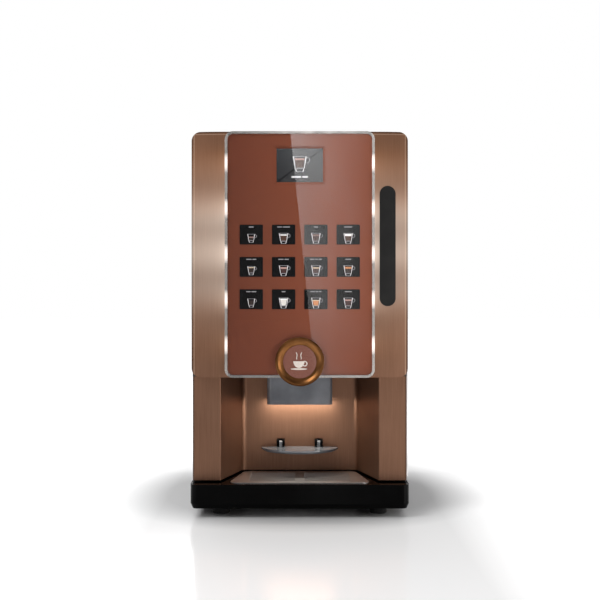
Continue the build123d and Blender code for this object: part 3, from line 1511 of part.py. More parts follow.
with BuildPart() as badge_ring:
    with BuildSketch(Plane((0, 0, badge_z))) as badge_profile:
        with BuildLine():
            Polyline(
                (badge_inner, y_glass),
                (badge_inner, y_glass - badge_thickness / 2),
                (badge_inner + 5, y_glass - badge_thickness),
                (badge_radius - 5, y_front),
                (badge_radius - 2, y_front),
                (badge_radius, y_front + 2),
                (badge_radius, y_glass),
                close=True,
            )
        make_face()
    revolve(axis=Axis((0, 0, badge_z), (0, 1, 0)))
badge_ring.part.label = "badge_ring"
export_step(badge_ring.part, "parts/badge_ring.step")

with BuildPart() as badge_disc:
    with BuildSketch(Plane.XZ.offset(-y_glass)):
        with Locations((0, badge_z)):
            Circle(badge_inner - running_gap)
    extrude(amount=badge_thickness)
badge_disc.part.label = "badge_disc"
export_step(badge_disc.part, "parts/badge_disc.step")

# ---------------------------------------------------------------- door frame
frame_sheet = 2.0
frame_gap = 0.2  # between the pillars' skin and the frame inside it
frame_lap = 58.0  # how far the lower flanges run up inside the frame
pillar_inner = 150.0  # half width of the niche's mouth
niche_half = 115.0  # half width of the niche's back wall
cable_hole = 60.0

with BuildPart() as door_frame:
    frame_depth = y_door_back - y_pillar
    with BuildSketch(Plane.XZ.offset(-y_door_back)):
        with Locations((0, glass_middle)):
            RectangleRounded(2 * half_body, glass_height, fascia_corner)
        with Locations((0, niche_top)):
            Rectangle(2 * half_body, glass_height / 2, align=(Align.CENTER, Align.MIN))
    extrude(amount=frame_depth)
    with BuildSketch(Plane.XZ.offset(-y_door_back)):
        with Locations((0, glass_middle)):
            RectangleRounded(
                2 * (half_body - frame_sheet),
                glass_height - 2 * frame_sheet,
                fascia_corner - frame_sheet,
            )
        with Locations((0, niche_top)):
            Rectangle(
                2 * (half_body - frame_sheet),
                glass_height / 2,
                align=(Align.CENTER, Align.MIN),
            )
    extrude(amount=frame_depth - frame_sheet, mode=Mode.SUBTRACT)
    with BuildSketch(Plane.XZ.offset(-y_pillar)):
        with Locations((0, display_z)):
            Rectangle(cable_hole, cable_hole)
    extrude(amount=-frame_sheet, mode=Mode.SUBTRACT)
    frame_half = half_body - skin - frame_gap
    y_flange = y_pillar + skin + frame_gap
    for side in (-1, 1):
        with BuildSketch(Plane.XZ.offset(-y_door_back)):
            with Locations((side * (frame_half - frame_sheet / 2), door_bottom)):
                Rectangle(
                    frame_sheet,
                    niche_top - door_bottom + frame_lap,
                    align=(Align.CENTER, Align.MIN),
                )
            with Locations((side * (frame_half + pillar_inner + 2 * skin) / 2, door_bottom)):
                Rectangle(
                    frame_half - pillar_inner - 2 * skin,
                    frame_sheet,
                    align=(Align.CENTER, Align.MIN),
                )
        extrude(amount=y_door_back - y_flange)
        with BuildSketch(Plane.XZ.offset(-y_door_back + frame_gap)):
            with Locations((side * frame_half, niche_top + frame_lap / 2)):
                Rectangle(frame_sheet, frame_lap / 2)
        extrude(amount=y_door_back - y_flange - 2 * frame_gap)
    strike_top = lock_height - strike_drop
    y_strike = y_cabinet - seat_gap - strike_sheet - seat_gap
    with BuildSketch(Plane.XY.offset(strike_top - strike_tall)):
        with BuildLine():
            Polyline(
                (-frame_half, y_door_back),
                (-frame_half, y_strike + strike_sheet),
                (-frame_half + strike_length, y_strike + strike_sheet),
                (-frame_half + strike_length, y_strike),
                (-frame_half + frame_sheet, y_strike),
                (-frame_half + frame_sheet, y_door_back),
                close=True,
            )
        make_face()
    extrude(amount=strike_tall)
door_frame.part.label = "door_frame"
export_step(door_frame.part, "parts/door_frame.step")

# ---------------------------------------------------------------- lower fascia with the niche
niche_corner = 12.0
pillar_corner = 2.5
window_half = 62.0
window_low = base_top + 143.0
window_high = base_top + 195.0


niche_outline = [
    (-half_body, y_door_back),
    (-half_body, y_pillar),
    (-pillar_inner, y_pillar),
    (-niche_half, y_niche),
    (niche_half, y_niche),
    (pillar_inner, y_pillar),
    (half_body, y_pillar),
    (half_body, y_door_back),
]
niche_radii = [pillar_corner, pillar_corner, niche_corner, niche_corner, pillar_corner, pillar_corner]

with BuildPart() as lower_fascia:
    with BuildSketch(Plane.XY.offset(door_bottom)):
        with BuildLine():
            FilletPolyline(*niche_outline, radius=niche_radii)
            offset(amount=skin, side=Side.LEFT)
        make_face()
    extrude(amount=niche_top - door_bottom)
    with BuildSketch(Plane.XY.offset(niche_top)) as ceiling_plan:
        Polygon(*niche_outline[2:6], align=None)
        offset(amount=skin / 2, kind=Kind.INTERSECTION)
    extrude(amount=-skin)
    with BuildSketch(Plane.XZ.offset(-y_niche - 2 * skin)):
        with Locations((0, (window_low + window_high) / 2)):
            Rectangle(2 * window_half, window_high - window_low)
    extrude(amount=4 * skin, mode=Mode.SUBTRACT)
lower_fascia.part.label = "lower_fascia"
export_step(lower_fascia.part, "parts/lower_fascia.step")

# ---------------------------------------------------------------- spout hood and lamps
hood_half = 64.0
hood_depth = 62.0
hood_low = base_top + 140.0
hood_wall = 2.5
hood_corner = 10.0
niche_lamp_half = 55.0
niche_lamp_depth = 7.0
niche_lamp_tall = 5.0

with BuildPart() as spout_hood:
    hood_back = y_niche - seat_gap
    hood_middle = hood_back - hood_depth / 2
    with BuildSketch(Plane.XY.offset(hood_low)):
        with Locations((0, hood_middle)):
            RectangleRounded(2 * hood_half, hood_depth, hood_corner)
        with Locations((0, hood_back - hood_corner / 2)):
            Rectangle(2 * hood_half, hood_corner)
        with Locations((0, hood_middle)):
            RectangleRounded(
                2 * (hood_half - hood_wall),
                hood_depth - 2 * hood_wall,
                hood_corner - hood_wall,
                mode=Mode.SUBTRACT,
            )
        with Locations((0, hood_back - hood_corner)):
            Rectangle(2 * (hood_half - hood_wall), 3 * hood_corner, mode=Mode.SUBTRACT)
    extrude(amount=niche_top - skin - hood_low)
spout_hood.part.label = "spout_hood"
export_step(spout_hood.part, "parts/spout_hood.step")

with BuildPart() as door_lamps:
    with BuildSketch(Plane.XZ.offset(-y_fascia - skin)):
        for lamp_z in lamp_heights:
            with Locations((-x_lamp, lamp_z), (x_lamp, lamp_z)):
                Rectangle(lamp_width, lamp_length)
    extrude(amount=skin)
    with BuildSketch(Plane.XZ.offset(-y_fascia - skin)):
        with Locations((-x_lamp, lamp_middle), (x_lamp, lamp_middle)):
            Rectangle(strip_width, (lamp_count - 1) * lamp_pitch + 2 * lamp_length)
    extrude(amount=-strip_sheet)
    with BuildSketch(Plane.XZ.offset(-y_niche)):
        with Locations((0, window_low - niche_lamp_tall / 2)):
            Rectangle(2 * niche_lamp_half, niche_lamp_tall)
    extrude(amount=niche_lamp_depth)
door_lamps.part.label = "door_lamps"
export_step(door_lamps.part, "parts/door_lamps.step")

# ---------------------------------------------------------------- cup shelf
shelf_half = 77.0
shelf_depth = 75.0
shelf_thickness = 6.0
shelf_rear_half = 50.0
shelf_pivot_z = base_top + 59.0
shelf_pivot_back = 8.0  # pivot to the niche's back wall
shelf_drop = 8.5  # pivot to the shelf's top
bracket_x = 38.0
bracket_width = 16.0
bracket_front = 7.5  # less than the drop, so that the folding shelf clears the corner
bracket_round = 4.0
bracket_slot = 6.6
lug_width = 6.0
lug_radius = 4.8
lug_pin_radius = 2.0
bump_x = 25.0
bump_radius = 6.0
bump_depth = 4.0

y_pivot = y_niche - shelf_pivot_back
shelf_top = shelf_pivot_z - shelf_drop

with BuildPart() as shelf_brackets:
    for side in (-1, 1):
        x_bracket = side * bracket_x - bracket_width / 2
        with BuildSketch(Plane.YZ.offset(x_bracket)) as bracket_side:
            bracket_low = shelf_pivot_z - shelf_drop + 2 * seat_gap
            with BuildLine():
                Polyline(
                    (y_pivot - bracket_front, bracket_low),
                    (y_niche, bracket_low),
                    (y_niche, shelf_pivot_z + bracket_front),
                    (y_pivot - bracket_front, shelf_pivot_z + bracket_front),
                    close=True,
                )
            make_face()
            fillet(bracket_side.vertices().group_by(Axis.X)[0].sort_by(Axis.Y)[-1], bracket_round)
            lower_front = bracket_side.vertices().group_by(Axis.X)[0].sort_by(Axis.Y)[0]
            fillet(lower_front, bracket_front - running_gap)
        extrude(amount=bracket_width)
        with BuildSketch(Plane.XY.offset(bracket_low)):
            with Locations((side * bracket_x, y_pivot - lug_radius)):
                Rectangle(bracket_slot, 2 * (2 * lug_radius + seat_gap))
        extrude(amount=2 * shelf_drop, mode=Mode.SUBTRACT)
        with BuildSketch(Plane.YZ.offset(x_bracket)):
            with Locations((y_pivot, shelf_pivot_z)):
                Circle(lug_pin_radius)
        extrude(amount=bracket_width)
shelf_brackets.part.label = "shelf_brackets"
export_step(shelf_brackets.part, "parts/shelf_brackets.step")

with BuildPart() as cup_shelf:
    shelf_rear = y_niche - 3 * seat_gap
    shelf_side = shelf_rear - 2 * shelf_thickness
    with BuildSketch(Plane.XY.offset(shelf_top - shelf_thickness)):
        with BuildLine():
            ThreePointArc((-shelf_half, shelf_side), (0, shelf_rear - shelf_depth), (shelf_half, shelf_side))
            Polyline(
                (shelf_half, shelf_side),
                (shelf_rear_half, shelf_rear),
                (-shelf_rear_half, shelf_rear),
                (-shelf_half, shelf_side),
            )
        make_face()
    extrude(amount=shelf_thickness)
    chamfer(cup_shelf.faces().sort_by(Axis.Z)[0].edges(), shelf_thickness / 2)
    for side in (-1, 1):
        with BuildSketch(Plane.YZ.offset(side * bracket_x - lug_width / 2)):
            with Locations((y_pivot, shelf_pivot_z)):
                Circle(lug_radius)
            with Locations((y_pivot, shelf_pivot_z - shelf_drop / 2 - 1)):
                Rectangle(2 * lug_radius, shelf_drop + 2)
            with Locations((y_pivot, shelf_pivot_z)):
                Circle(lug_pin_radius + running_gap, mode=Mode.SUBTRACT)
        extrude(amount=lug_width)
    with BuildSketch(Plane.XY.offset(shelf_top - shelf_thickness)):
        with Locations((-bump_x, y_pivot - bump_x), (bump_x, y_pivot - bump_x)):
            Circle(bump_radius)
    extrude(amount=-bump_depth)
cup_shelf.part.label = "cup_shelf"
export_step(cup_shelf.part, "parts/cup_shelf.step")
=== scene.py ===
# %% [markdown]
# # Dressing a table-top hot drinks machine
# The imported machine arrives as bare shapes, each riding on the body that moves it. This lesson gives every
# shape the finish of the real one and models the small printed and raised things that solid modelling
# leaves plain: the twelve key faces, the screen, the badge's emblem, the door seal and the beans in the
# hopper. Metres throughout. X runs right, Y back and Z up, and the machine stands on Z = 0.

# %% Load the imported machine
import math
import random

import bmesh
import bpy
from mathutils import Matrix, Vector


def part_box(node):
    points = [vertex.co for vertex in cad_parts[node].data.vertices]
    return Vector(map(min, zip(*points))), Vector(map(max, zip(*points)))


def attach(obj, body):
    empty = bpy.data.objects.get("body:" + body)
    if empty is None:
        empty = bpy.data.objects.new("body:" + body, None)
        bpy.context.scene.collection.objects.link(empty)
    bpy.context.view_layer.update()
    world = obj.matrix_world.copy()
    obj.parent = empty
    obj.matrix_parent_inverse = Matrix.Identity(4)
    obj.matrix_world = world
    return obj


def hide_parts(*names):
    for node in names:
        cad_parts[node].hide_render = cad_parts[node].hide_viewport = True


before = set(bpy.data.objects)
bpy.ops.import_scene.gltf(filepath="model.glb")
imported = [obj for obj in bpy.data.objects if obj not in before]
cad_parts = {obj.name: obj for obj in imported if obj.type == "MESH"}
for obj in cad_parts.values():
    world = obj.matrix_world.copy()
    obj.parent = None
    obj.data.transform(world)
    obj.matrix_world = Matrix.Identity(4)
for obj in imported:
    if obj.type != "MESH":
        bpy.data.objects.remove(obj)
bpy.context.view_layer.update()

# %% [markdown]
# ## A small language for finishes
# A finish is a node tree. Wiring it by hand is long to read, so a socket is wrapped in a small class whose
# arithmetic adds Math nodes, and everything else goes through one method that takes the node's type, its
# settings and its sockets. The finish then reads like the sentence that describes the surface.

# %% Signals and finishes
EULER = 2.718


class Signal:
    """A socket that arithmetic can be written on."""

    def __init__(self, finish, socket):
        self.finish = finish
        self.socket = socket

    def maths(self, operation, first, second):
        return self.finish.add("Math", {"operation": operation}, {0: first, 1: second})

    def __add__(self, other):
        return self.maths("ADD", self, other)

    def __sub__(self, other):
        return self.maths("SUBTRACT", self, other)

    def __rsub__(self, other):
        return self.maths("SUBTRACT", other, self)

    def __mul__(self, other):
        return self.maths("MULTIPLY", self, other)

    def __truediv__(self, other):
        return self.maths("DIVIDE", self, other)

    def __pow__(self, other):
        return self.maths("POWER", self, other)

    def __gt__(self, other):
        return self.maths("GREATER_THAN", self, other)

    def __lt__(self, other):
        return self.maths("LESS_THAN", self, other)

    __radd__ = __add__
    __rmul__ = __mul__

    def bell(self, middle, width):
        """1 at the middle, falling softly to 0 over a few widths."""
        off = (self - middle) / width
        return EULER ** Exponent(off * off * -1.0)

    def wave(self):
        return self.maths("COSINE", self, 0.0)

    def size(self):
        return self.maths("ABSOLUTE", self, 0.0)

    def held(self, low, high):
        """The same, stretched so that low reads 0 and high reads 1, and kept between."""
        sockets = {"Value": self, "From Min": low, "From Max": high}
        return self.finish.add("MapRange", {"clamp": True}, sockets)


class Exponent:
    """Lets a plain number be raised to a signal."""

    def __init__(self, signal):
        self.signal = signal

    def __rpow__(self, base):
        return self.signal.maths("POWER", base, self.signal)


class Finish:
    """One material: a Principled shader, and the calls that add nodes in front of it."""

    def __init__(self, name, constants):
        self.material = bpy.data.materials.new(name)
        self.material.use_nodes = True
        self.tree = self.material.node_tree
        self.tree.nodes.clear()
        self.shader = self.tree.nodes.new("ShaderNodeBsdfPrincipled")
        self.output = self.tree.nodes.new("ShaderNodeOutputMaterial")
        self.tree.links.new(self.shader.outputs[0], self.output.inputs["Surface"])
        for socket, value in constants.items():
            self.feed(self.shader.inputs[socket], value)

    def feed(self, socket, value):
        if isinstance(value, Signal):
            self.tree.links.new(value.socket, socket)
        elif isinstance(value, tuple) and socket.type == "RGBA":
            socket.default_value = (*value, 1.0)
        else:
            socket.default_value = value

    def add(self, kind, settings=None, sockets=None, output=0):
        node = self.tree.nodes.new("ShaderNode" + kind)
        for key, value in (settings or {}).items():
            setattr(node, key, value)
        for key, value in (sockets or {}).items():
            self.feed(node.inputs[key], value)
        return Signal(self, node.outputs[output])

    def place(self, axis):
        """One object coordinate, in metres in the machine's own frame."""
        spot = self.add("TexCoord", output=3)
        return self.add("SeparateXYZ", sockets={0: spot}, output="XYZ".index(axis))

    def grain(self, scale, stretch=(1, 1, 1), detail=2.0, rough=0.5):
        """Noise between 0 and 1. A stretch under 1 draws the grain out along that axis."""
        spot = self.add("TexCoord", output=3)
        spot = self.add("Mapping", sockets={"Vector": spot, "Scale": stretch})
        sockets = {"Vector": spot, "Scale": scale, "Detail": detail, "Roughness": rough}
        return self.add("TexNoise", {}, sockets)

    def cells(self, scale, output="Distance"):
        spot = self.add("TexCoord", output=3)
        node = self.add("TexVoronoi", {}, {"Vector": spot, "Scale": scale})
        return Signal(self, node.socket.node.outputs[output])

    def mix(self, factor, first, second):
        """A colour between two others."""
        sockets = {0: factor, 6: first, 7: second}
        return self.add("Mix", {"data_type": "RGBA"}, sockets, output=2)

    def relief(self, height, depth, strength=1.0):
        """Raises the surface by the height signal times a depth in metres."""
        bump = self.add("Bump", {}, {"Strength": strength, "Distance": depth, "Height": height})
        self.set("Normal", bump)

    def set(self, socket, value):
        self.feed(self.shader.inputs[socket], value)


def paint(red, green, blue):
    """A colour as a screen shows it, 0 to 255, turned into light."""
    return tuple(((c / 255 + 0.055) / 1.055) ** 2.4 if c > 10 else c / 3295 for c in (red, green, blue))


finishes = {}


def finish(name, colour, metallic=0.0, roughness=0.5, **others):
    """Starts a finish and files it under its slot's name."""
    constants = {"Base Color": colour, "Metallic": metallic, "Roughness": roughness}
    constants.update({key.replace("_", " "): value for key, value in others.items()})
    finishes[name] = Finish(name, constants)
    return finishes[name]


# %% [markdown]
# ## Bronze door skins
# The door is brushed metal under a bronze lacquer. Brushing leaves fine lines in one direction, here up and
# down, which blur a reflection across them. A noise texture drawn out along Z gives the lines, and the same
# lines change colour, roughness and relief together, because a scratch is all three at once. The lamps
# behind the glass edge wash the wings with light. Real lamps do this too, but a few tiny lamps render
# noisily, so the wash is put in as a soft emission that follows the lamps' places: white at mid height,
# amber at the ends. The door's rounded edges carry painted shade, drawn dark, and a painted highlight, a
# light line just inside them.

# %% Bronze
rim_low, rim_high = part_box("light_frame")
lamp_pitch = 0.085
lamp_middle = (rim_low.z + rim_high.z) / 2 + 0.001
glass_half = rim_high.x
skin_low, skin_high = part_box("upper_fascia")
wing_low, wing_top, door_half = skin_low.z, skin_high.z, skin_high.x
badge_z = sum(corner.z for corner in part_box("badge_disc")) / 2

# A smaller Y is nearer the viewer. The door's edges end at the first plane; its face lies before the second.
edges_end = -0.225
face_plane = -0.255
edge_inset = 0.003
rounding_from, rounding_to = -0.0008, 0.0012
painted_highlight_place, painted_highlight_width = -0.0018, 0.0006


def lamp_beat(level):
    """1 level with each lamp and -1 half way to the next, for a signal that says how high a point is."""
    return ((level - lamp_middle) * (2 * math.pi / lamp_pitch)).wave()


bronze = finish("bronze", paint(142, 104, 82), metallic=0.78, roughness=0.4)
across = bronze.place("X").size()
height = bronze.place("Z")
depth_in = bronze.place("Y")
fine_lines = bronze.grain(1400, (1, 1, 0.012), 3.0, 0.6)
broad_lines = bronze.grain(160, (1, 1, 0.03), 2.0)
clouds = bronze.grain(9, (1, 1, 1.6), 2.0)
lacquer_and_painted_highlight = bronze.mix(fine_lines.held(0.3, 0.7), paint(118, 84, 65), paint(136, 101, 80))
lacquer_and_painted_highlight = bronze.mix(broad_lines.held(0.35, 0.7) * 0.16, lacquer_and_painted_highlight, paint(108, 74, 55))
lacquer_and_painted_highlight = bronze.mix(clouds.held(0.35, 0.7) * 0.25, lacquer_and_painted_highlight, paint(142, 105, 84))
outline = across.maths("MAXIMUM", across - (door_half - edge_inset), height - (wing_top - edge_inset))
# Painted shade: the door's rounded edges are drawn dark.
edge = outline.held(rounding_from, rounding_to) * (depth_in < edges_end)
# Painted highlight: a light line just inside the rounded edges.
painted_highlight_line = outline.bell(painted_highlight_place, painted_highlight_width) * (depth_in < face_plane)
# The painted highlight goes into the lacquer colour, then the painted edge shade on top.
lacquer_and_painted_highlight = bronze.mix(painted_highlight_line * 0.5, lacquer_and_painted_highlight, paint(226, 196, 172))
bronze.set("Base Color", bronze.mix(edge * 0.8, lacquer_and_painted_highlight, paint(58, 40, 31)))
bronze.set("Roughness", 0.34 + fine_lines * 0.1 + clouds * 0.06)
bronze.relief(fine_lines + broad_lines * 0.3, 0.00003, 0.3)

wide_fall, close_fall = 6.0, 120.0
wide_middle, wide_width = lamp_middle + 0.03, 0.135
close_width = 0.20
wash_strength = 0.62
from_glass = (across - glass_half).held(0.0, 1.0)
spots = lamp_beat(height) * 0.5 + 0.5
near = EULER ** Exponent(from_glass * -wide_fall)
close = EULER ** Exponent(from_glass * -close_fall)
over_lamps = height.bell(lamp_middle, close_width)
on_wing = (depth_in < face_plane) * (across > glass_half - 0.004) * (height > wing_low + 0.001)
wide_wash = near * height.bell(wide_middle, wide_width)
close_wash = close * spots * over_lamps * 0.4
ends = (height - lamp_middle).size().held(0.06, 0.19)
glow = bronze.mix(ends, (0.78, 0.66, 0.56), (0.66, 0.28, 0.12))
wash = (wide_wash * (0.75 + 0.3 * spots) + close_wash) * on_wing
bronze.set("Emission Color", bronze.mix(wash * wash_strength, (0.0, 0.0, 0.0), glow))
bronze.set("Emission Strength", 1.0)

# %% [markdown]
# ## Black plastics and powder coat
# Gloss black is never flat: moulding leaves a slow ripple and handling leaves faint patches of lower gloss.
# Matte black parts have a spark-eroded grain, which Voronoi cells give. Powder coat flows into a skin like
# orange peel, a low noise a couple of millimetres across.

# %% Black and coated finishes
black = finish("black_gloss", paint(2, 2, 2), roughness=0.1)
black.set("Specular IOR Level", 0.05)
handling = black.grain(22, detail=4.0).held(0.45, 0.75)
black.set("Base Color", black.mix(handling * 0.5, paint(1, 1, 1), paint(6, 6, 6)))
black.set("Roughness", 0.09 + handling * 0.13)
black.relief(black.grain(110), 0.0002, 0.06)

for slot, colour, lighter in (
    ("black_matte", paint(17, 16, 16), paint(28, 27, 26)),
    ("motor", paint(38, 40, 44), paint(60, 62, 66)),
):
    matte = finish(slot, colour, roughness=0.5)
    matte.set("Specular IOR Level", 0.3)
    pits = matte.cells(1500)
    wear = matte.grain(30, detail=5.0).held(0.45, 0.8)
    matte.set("Base Color", matte.mix(wear, colour, lighter))
    matte.set("Roughness", 0.42 + pits * 0.2 + wear * 0.1)
    matte.relief(pits, 0.00012, 0.4)

coat = finish("dark_steel", paint(50, 46, 44), metallic=0.25, roughness=0.42)
peel = coat.grain(420, detail=2.0)
patches = coat.grain(7, detail=3.0).held(0.35, 0.7)
coat.set("Base Color", coat.mix(patches, paint(46, 43, 41), paint(58, 53, 50)))
coat.set("Roughness", 0.36 + peel * 0.16)
coat.relief(peel, 0.0003, 0.25)

rubber = finish("rubber", paint(22, 22, 22), roughness=0.75, Sheen_Weight=0.15)
bloom = rubber.grain(260, detail=5.0)
rubber.set("Base Color", rubber.mix(bloom.held(0.4, 0.7), paint(17, 17, 17), paint(40, 39, 38)))
rubber.set("Roughness", 0.62 + bloom * 0.25)
rubber.relief(bloom, 0.0002, 0.4)

# %% [markdown]
# ## Bright metals
# The tray is brushed across its width and the hinge along its length. Galvanised sheet shows spangle,
# crystals a few millimetres across that each tilt the light their own way, so Voronoi cells set both tone
# and roughness. Turned and plated parts are smoother, with faint rings or wipe marks. The slim rim round
# the glass also carries the lamps' light: bright spots level with each lamp, as a soft emission.

# %% Metals
steel = finish("stainless", paint(206, 202, 199), metallic=1.0, roughness=0.25)
brushing = steel.grain(1500, (0.015, 1, 1), 3.0, 0.6)
wipes = steel.grain(14, (0.5, 1, 1), 4.0)
steel.set("Base Color", steel.mix(brushing.held(0.3, 0.7), paint(196, 192, 190), paint(228, 225, 224)))
steel.set("Roughness", 0.26 + brushing * 0.12 + wipes * 0.1)
steel.relief(brushing, 0.00004, 0.3)

zinc = finish("zinc", paint(160, 163, 166), metallic=0.9, roughness=0.4)
crystal = zinc.add("SeparateColor", {}, {0: zinc.cells(210, "Color")})
stain = zinc.grain(18, detail=4.0)
zinc.set("Base Color", zinc.mix(crystal, paint(140, 144, 148), paint(186, 188, 190)))
zinc.set("Roughness", 0.28 + crystal * 0.2 + stain * 0.12)
zinc.relief(crystal, 0.00005, 0.2)

METALS = (
    ("chrome", (208, 208, 210), (226, 226, 228), 0.06, 900),
    ("aluminium", (168, 170, 172), (196, 198, 200), 0.34, 700),
    ("brass", (168, 132, 68), (206, 170, 100), 0.24, 500),
    ("rim", (168, 164, 160), (206, 202, 198), 0.16, 1200),
)
for slot, low, high, smooth, scale in METALS:
    metal = finish(slot, paint(*low), metallic=1.0, roughness=smooth)
    turning = metal.grain(scale, (1, 1, 0.1), 3.0)
    touched = metal.grain(40, detail=4.0).held(0.4, 0.75)
    metal.set("Base Color", metal.mix(turning.held(0.3, 0.7), paint(*low), paint(*high)))
    metal.set("Roughness", smooth + turning * 0.08 + touched * 0.1)
    metal.relief(turning, 0.00003, 0.25)

rim = finishes["rim"]
rim_height = rim.place("Z")
rim_width, rim_back = 0.006, -0.2
lamp_rows = 5
between_spots = 0.12
rim_side = (rim.place("X").size() > glass_half - rim_width) * (rim.place("Y") < rim_back)
rim_spots = lamp_beat(rim_height).held(0.2, 1.0)
rim_reach = (rim_height - lamp_middle).size() < lamp_rows / 2 * lamp_pitch
rim_light = rim_side * (between_spots + rim_spots * rim_reach * (1 - between_spots))
rim.set("Emission Color", rim.mix(rim_light, (0.0, 0.0, 0.0), (1.0, 0.90, 0.84)))
rim.set("Emission Strength", 1.1)

gold = finish("gold", paint(150, 104, 58), metallic=1.0, roughness=0.24)
ring_waves = 9000
ring_inner, ring_outer = 0.0385, 0.0455
spun_x = gold.place("X")
spun_z = gold.place("Z") - badge_z
spun = (spun_x * spun_x + spun_z * spun_z) ** 0.5
rings = (spun * ring_waves).wave() * 0.5 + 0.5
tarnish = gold.grain(60, detail=4.0).held(0.35, 0.7)
# Painted shade: the ring is drawn darker towards its outer edge.
outer = spun.held(ring_inner, ring_outer)
gold_tone = gold.mix(tarnish, paint(134, 90, 52), paint(112, 73, 41))
gold.set("Base Color", gold.mix(outer * 0.75, gold_tone, paint(84, 52, 28)))
gold.set("Roughness", 0.3 + tarnish * 0.12 + rings * 0.03)
gold.relief(rings, 0.00002, 0.15)

# %% [markdown]
# ## Glass, print and lamps
# The front is a clear pane over a brown printed panel. A pane this thin doesn't visibly bend what is behind
# it, so it is made of a clear shader and a mirror one, mixed by the angle at which it is met. Lamp light
# then passes it freely and the print keeps its colour. Smoked plastic is a tinted solid that lets a little
# through.

# %% See-through finishes


def see_through(name, tint, least, gloss, body=None, body_share=0.0):
    """Clear but for a mirror skin that grows towards the edge of sight, and a share of solid colour.

    least is the mirror's share seen straight on, and body_share is the solid colour's share.
    """
    edge_share, edge_power = 0.75, 4.0
    clear = finish(name, tint if body is None else body, roughness=gloss)
    tree = clear.tree
    smear = clear.grain(16, detail=5.0).held(0.42, 0.75)
    facing = clear.add("LayerWeight", {}, {"Blend": 0.5}, output=1)
    share = least + facing ** edge_power * edge_share + smear * (least * 0.35)
    passing = clear.add("BsdfTransparent", {}, {"Color": tint})
    mirror = clear.add("BsdfGlossy", {}, {"Color": (1.0, 1.0, 1.0), "Roughness": gloss})
    both = clear.add("MixShader", {}, {0: share, 1: passing, 2: mirror})
    if body_share:
        clear.set("Base Color", clear.mix(smear, body, tuple(c * 1.5 for c in body)))
        clear.set("Roughness", gloss + smear * 0.12)
        solid = Signal(clear, clear.shader.outputs[0])
        both = clear.add("MixShader", {}, {0: body_share + smear * 0.06, 1: both, 2: solid})
    else:
        tree.nodes.remove(clear.shader)
    tree.links.new(both.socket, clear.output.inputs["Surface"])
    return clear


see_through("clear_glass", (0.98, 0.98, 0.98), 0.022, 0.012)
see_through("clear_plastic", (0.86, 0.88, 0.89), 0.05, 0.06, (0.55, 0.57, 0.58), 0.16)
see_through("smoked", (0.34, 0.35, 0.37), 0.06, 0.05, paint(120, 124, 131), 0.7)

panel = finish("brown_print", paint(112, 66, 48), roughness=0.42)
mottle = panel.grain(900, detail=2.0)
sweep_left, sweep_right, fade_height = -0.13, 0.06, 0.14
# Painted shade: the print is drawn darker to the left and, over the bottom fade_height, towards the bottom.
painted_side_shade = panel.place("X").held(sweep_left, sweep_right)
painted_bottom_shade_fade = panel.place("Z").held(wing_low, wing_low + fade_height)
# The painted shade is mixed into the brown print here.
print_with_painted_shade = panel.mix(painted_side_shade, paint(118, 62, 42), paint(156, 86, 60))
print_with_painted_shade = panel.mix((1 - painted_bottom_shade_fade) * 0.3, print_with_painted_shade, paint(122, 66, 46))
panel.set("Base Color", panel.mix(mottle.held(0.35, 0.65) * 0.03, print_with_painted_shade, paint(150, 98, 78)))
panel.set("Roughness", 0.46 + mottle * 0.05)
panel.set("Specular IOR Level", 0.1)

disc = finish("badge_brown", paint(128, 74, 58), roughness=0.28, Coat_Weight=0.6, Coat_Roughness=0.05)
flake = disc.cells(2600, "Color")
flake = disc.add("SeparateColor", {}, {0: flake})
disc.set("Base Color", disc.mix(flake * 0.5, paint(118, 68, 54), paint(158, 100, 82)))
disc.set("Roughness", 0.24 + flake * 0.12)

lamp = finish("lamp", (0.9, 0.86, 0.84), roughness=0.4)
beat = lamp_beat(lamp.place("Z")) * 0.5 + 0.5
end_lamps = (lamp.place("Z") - lamp_middle).size().held(0.1, 0.18)
tube = lamp.place("Y") > rim_back
lit = lamp.mix(end_lamps * 0.5, (1.0, 0.86, 0.80), (1.0, 0.72, 0.56))
lit = lamp.mix(tube, lit, (0.12, 0.1, 0.08))
lamp.set("Emission Color", lamp.mix((0.35 + beat * 0.65) * (1 - tube) + tube, (0.1, 0.07, 0.06), lit))
lamp.set("Emission Strength", 2.2)

# %% [markdown]
# ## Moulded plastics, hoses and the circuit board
# These are inside the machine, behind the door. Food-grade mouldings are white with slight flow marks and
# fine pores. The board is green lacquer with tracks, drawn with a brick pattern.

# %% Inner finishes
PLASTICS = (
    ("white_plastic", (214, 212, 206), (188, 184, 176), 0.38),
    ("red_plastic", (150, 24, 20), (112, 14, 12), 0.3),
    ("hose", (186, 182, 172), (150, 144, 132), 0.35),
    ("label", (3, 3, 4), (8, 8, 9), 0.4),
)
for slot, main, second, smooth in PLASTICS:
    plastic = finish(slot, paint(*main), roughness=smooth)
    flow = plastic.grain(26, (1, 1, 0.6), 5.0).held(0.42, 0.75)
    pores = plastic.grain(1300)
    plastic.set("Base Color", plastic.mix(flow, paint(*main), paint(*second)))
    plastic.set("Roughness", smooth + pores * 0.12 + flow * 0.08)
    plastic.relief(pores, 0.00008, 0.25)
finishes["label"].set("Specular IOR Level", 0.06)

board = finish("board", paint(20, 72, 42), roughness=0.35, Coat_Weight=0.4)
spot = board.add("TexCoord", output=3)
turned = board.add("Mapping", {}, {"Vector": spot, "Rotation": (math.pi / 2, 0.0, 0.0)})
pattern = {"Vector": turned, "Scale": 160.0, "Mortar Size": 0.05}
greys = {"Color1": (0.0, 0.0, 0.0), "Color2": (0.3, 0.3, 0.3), "Mortar": (1.0, 1.0, 1.0)}
tracks = board.add("TexBrick", {}, {**pattern, **greys})
tracks = board.add("SeparateColor", {}, {0: tracks})
board.set("Base Color", board.mix(tracks, paint(16, 62, 36), paint(70, 120, 70)))
board.relief(tracks, 0.00005, 0.5)

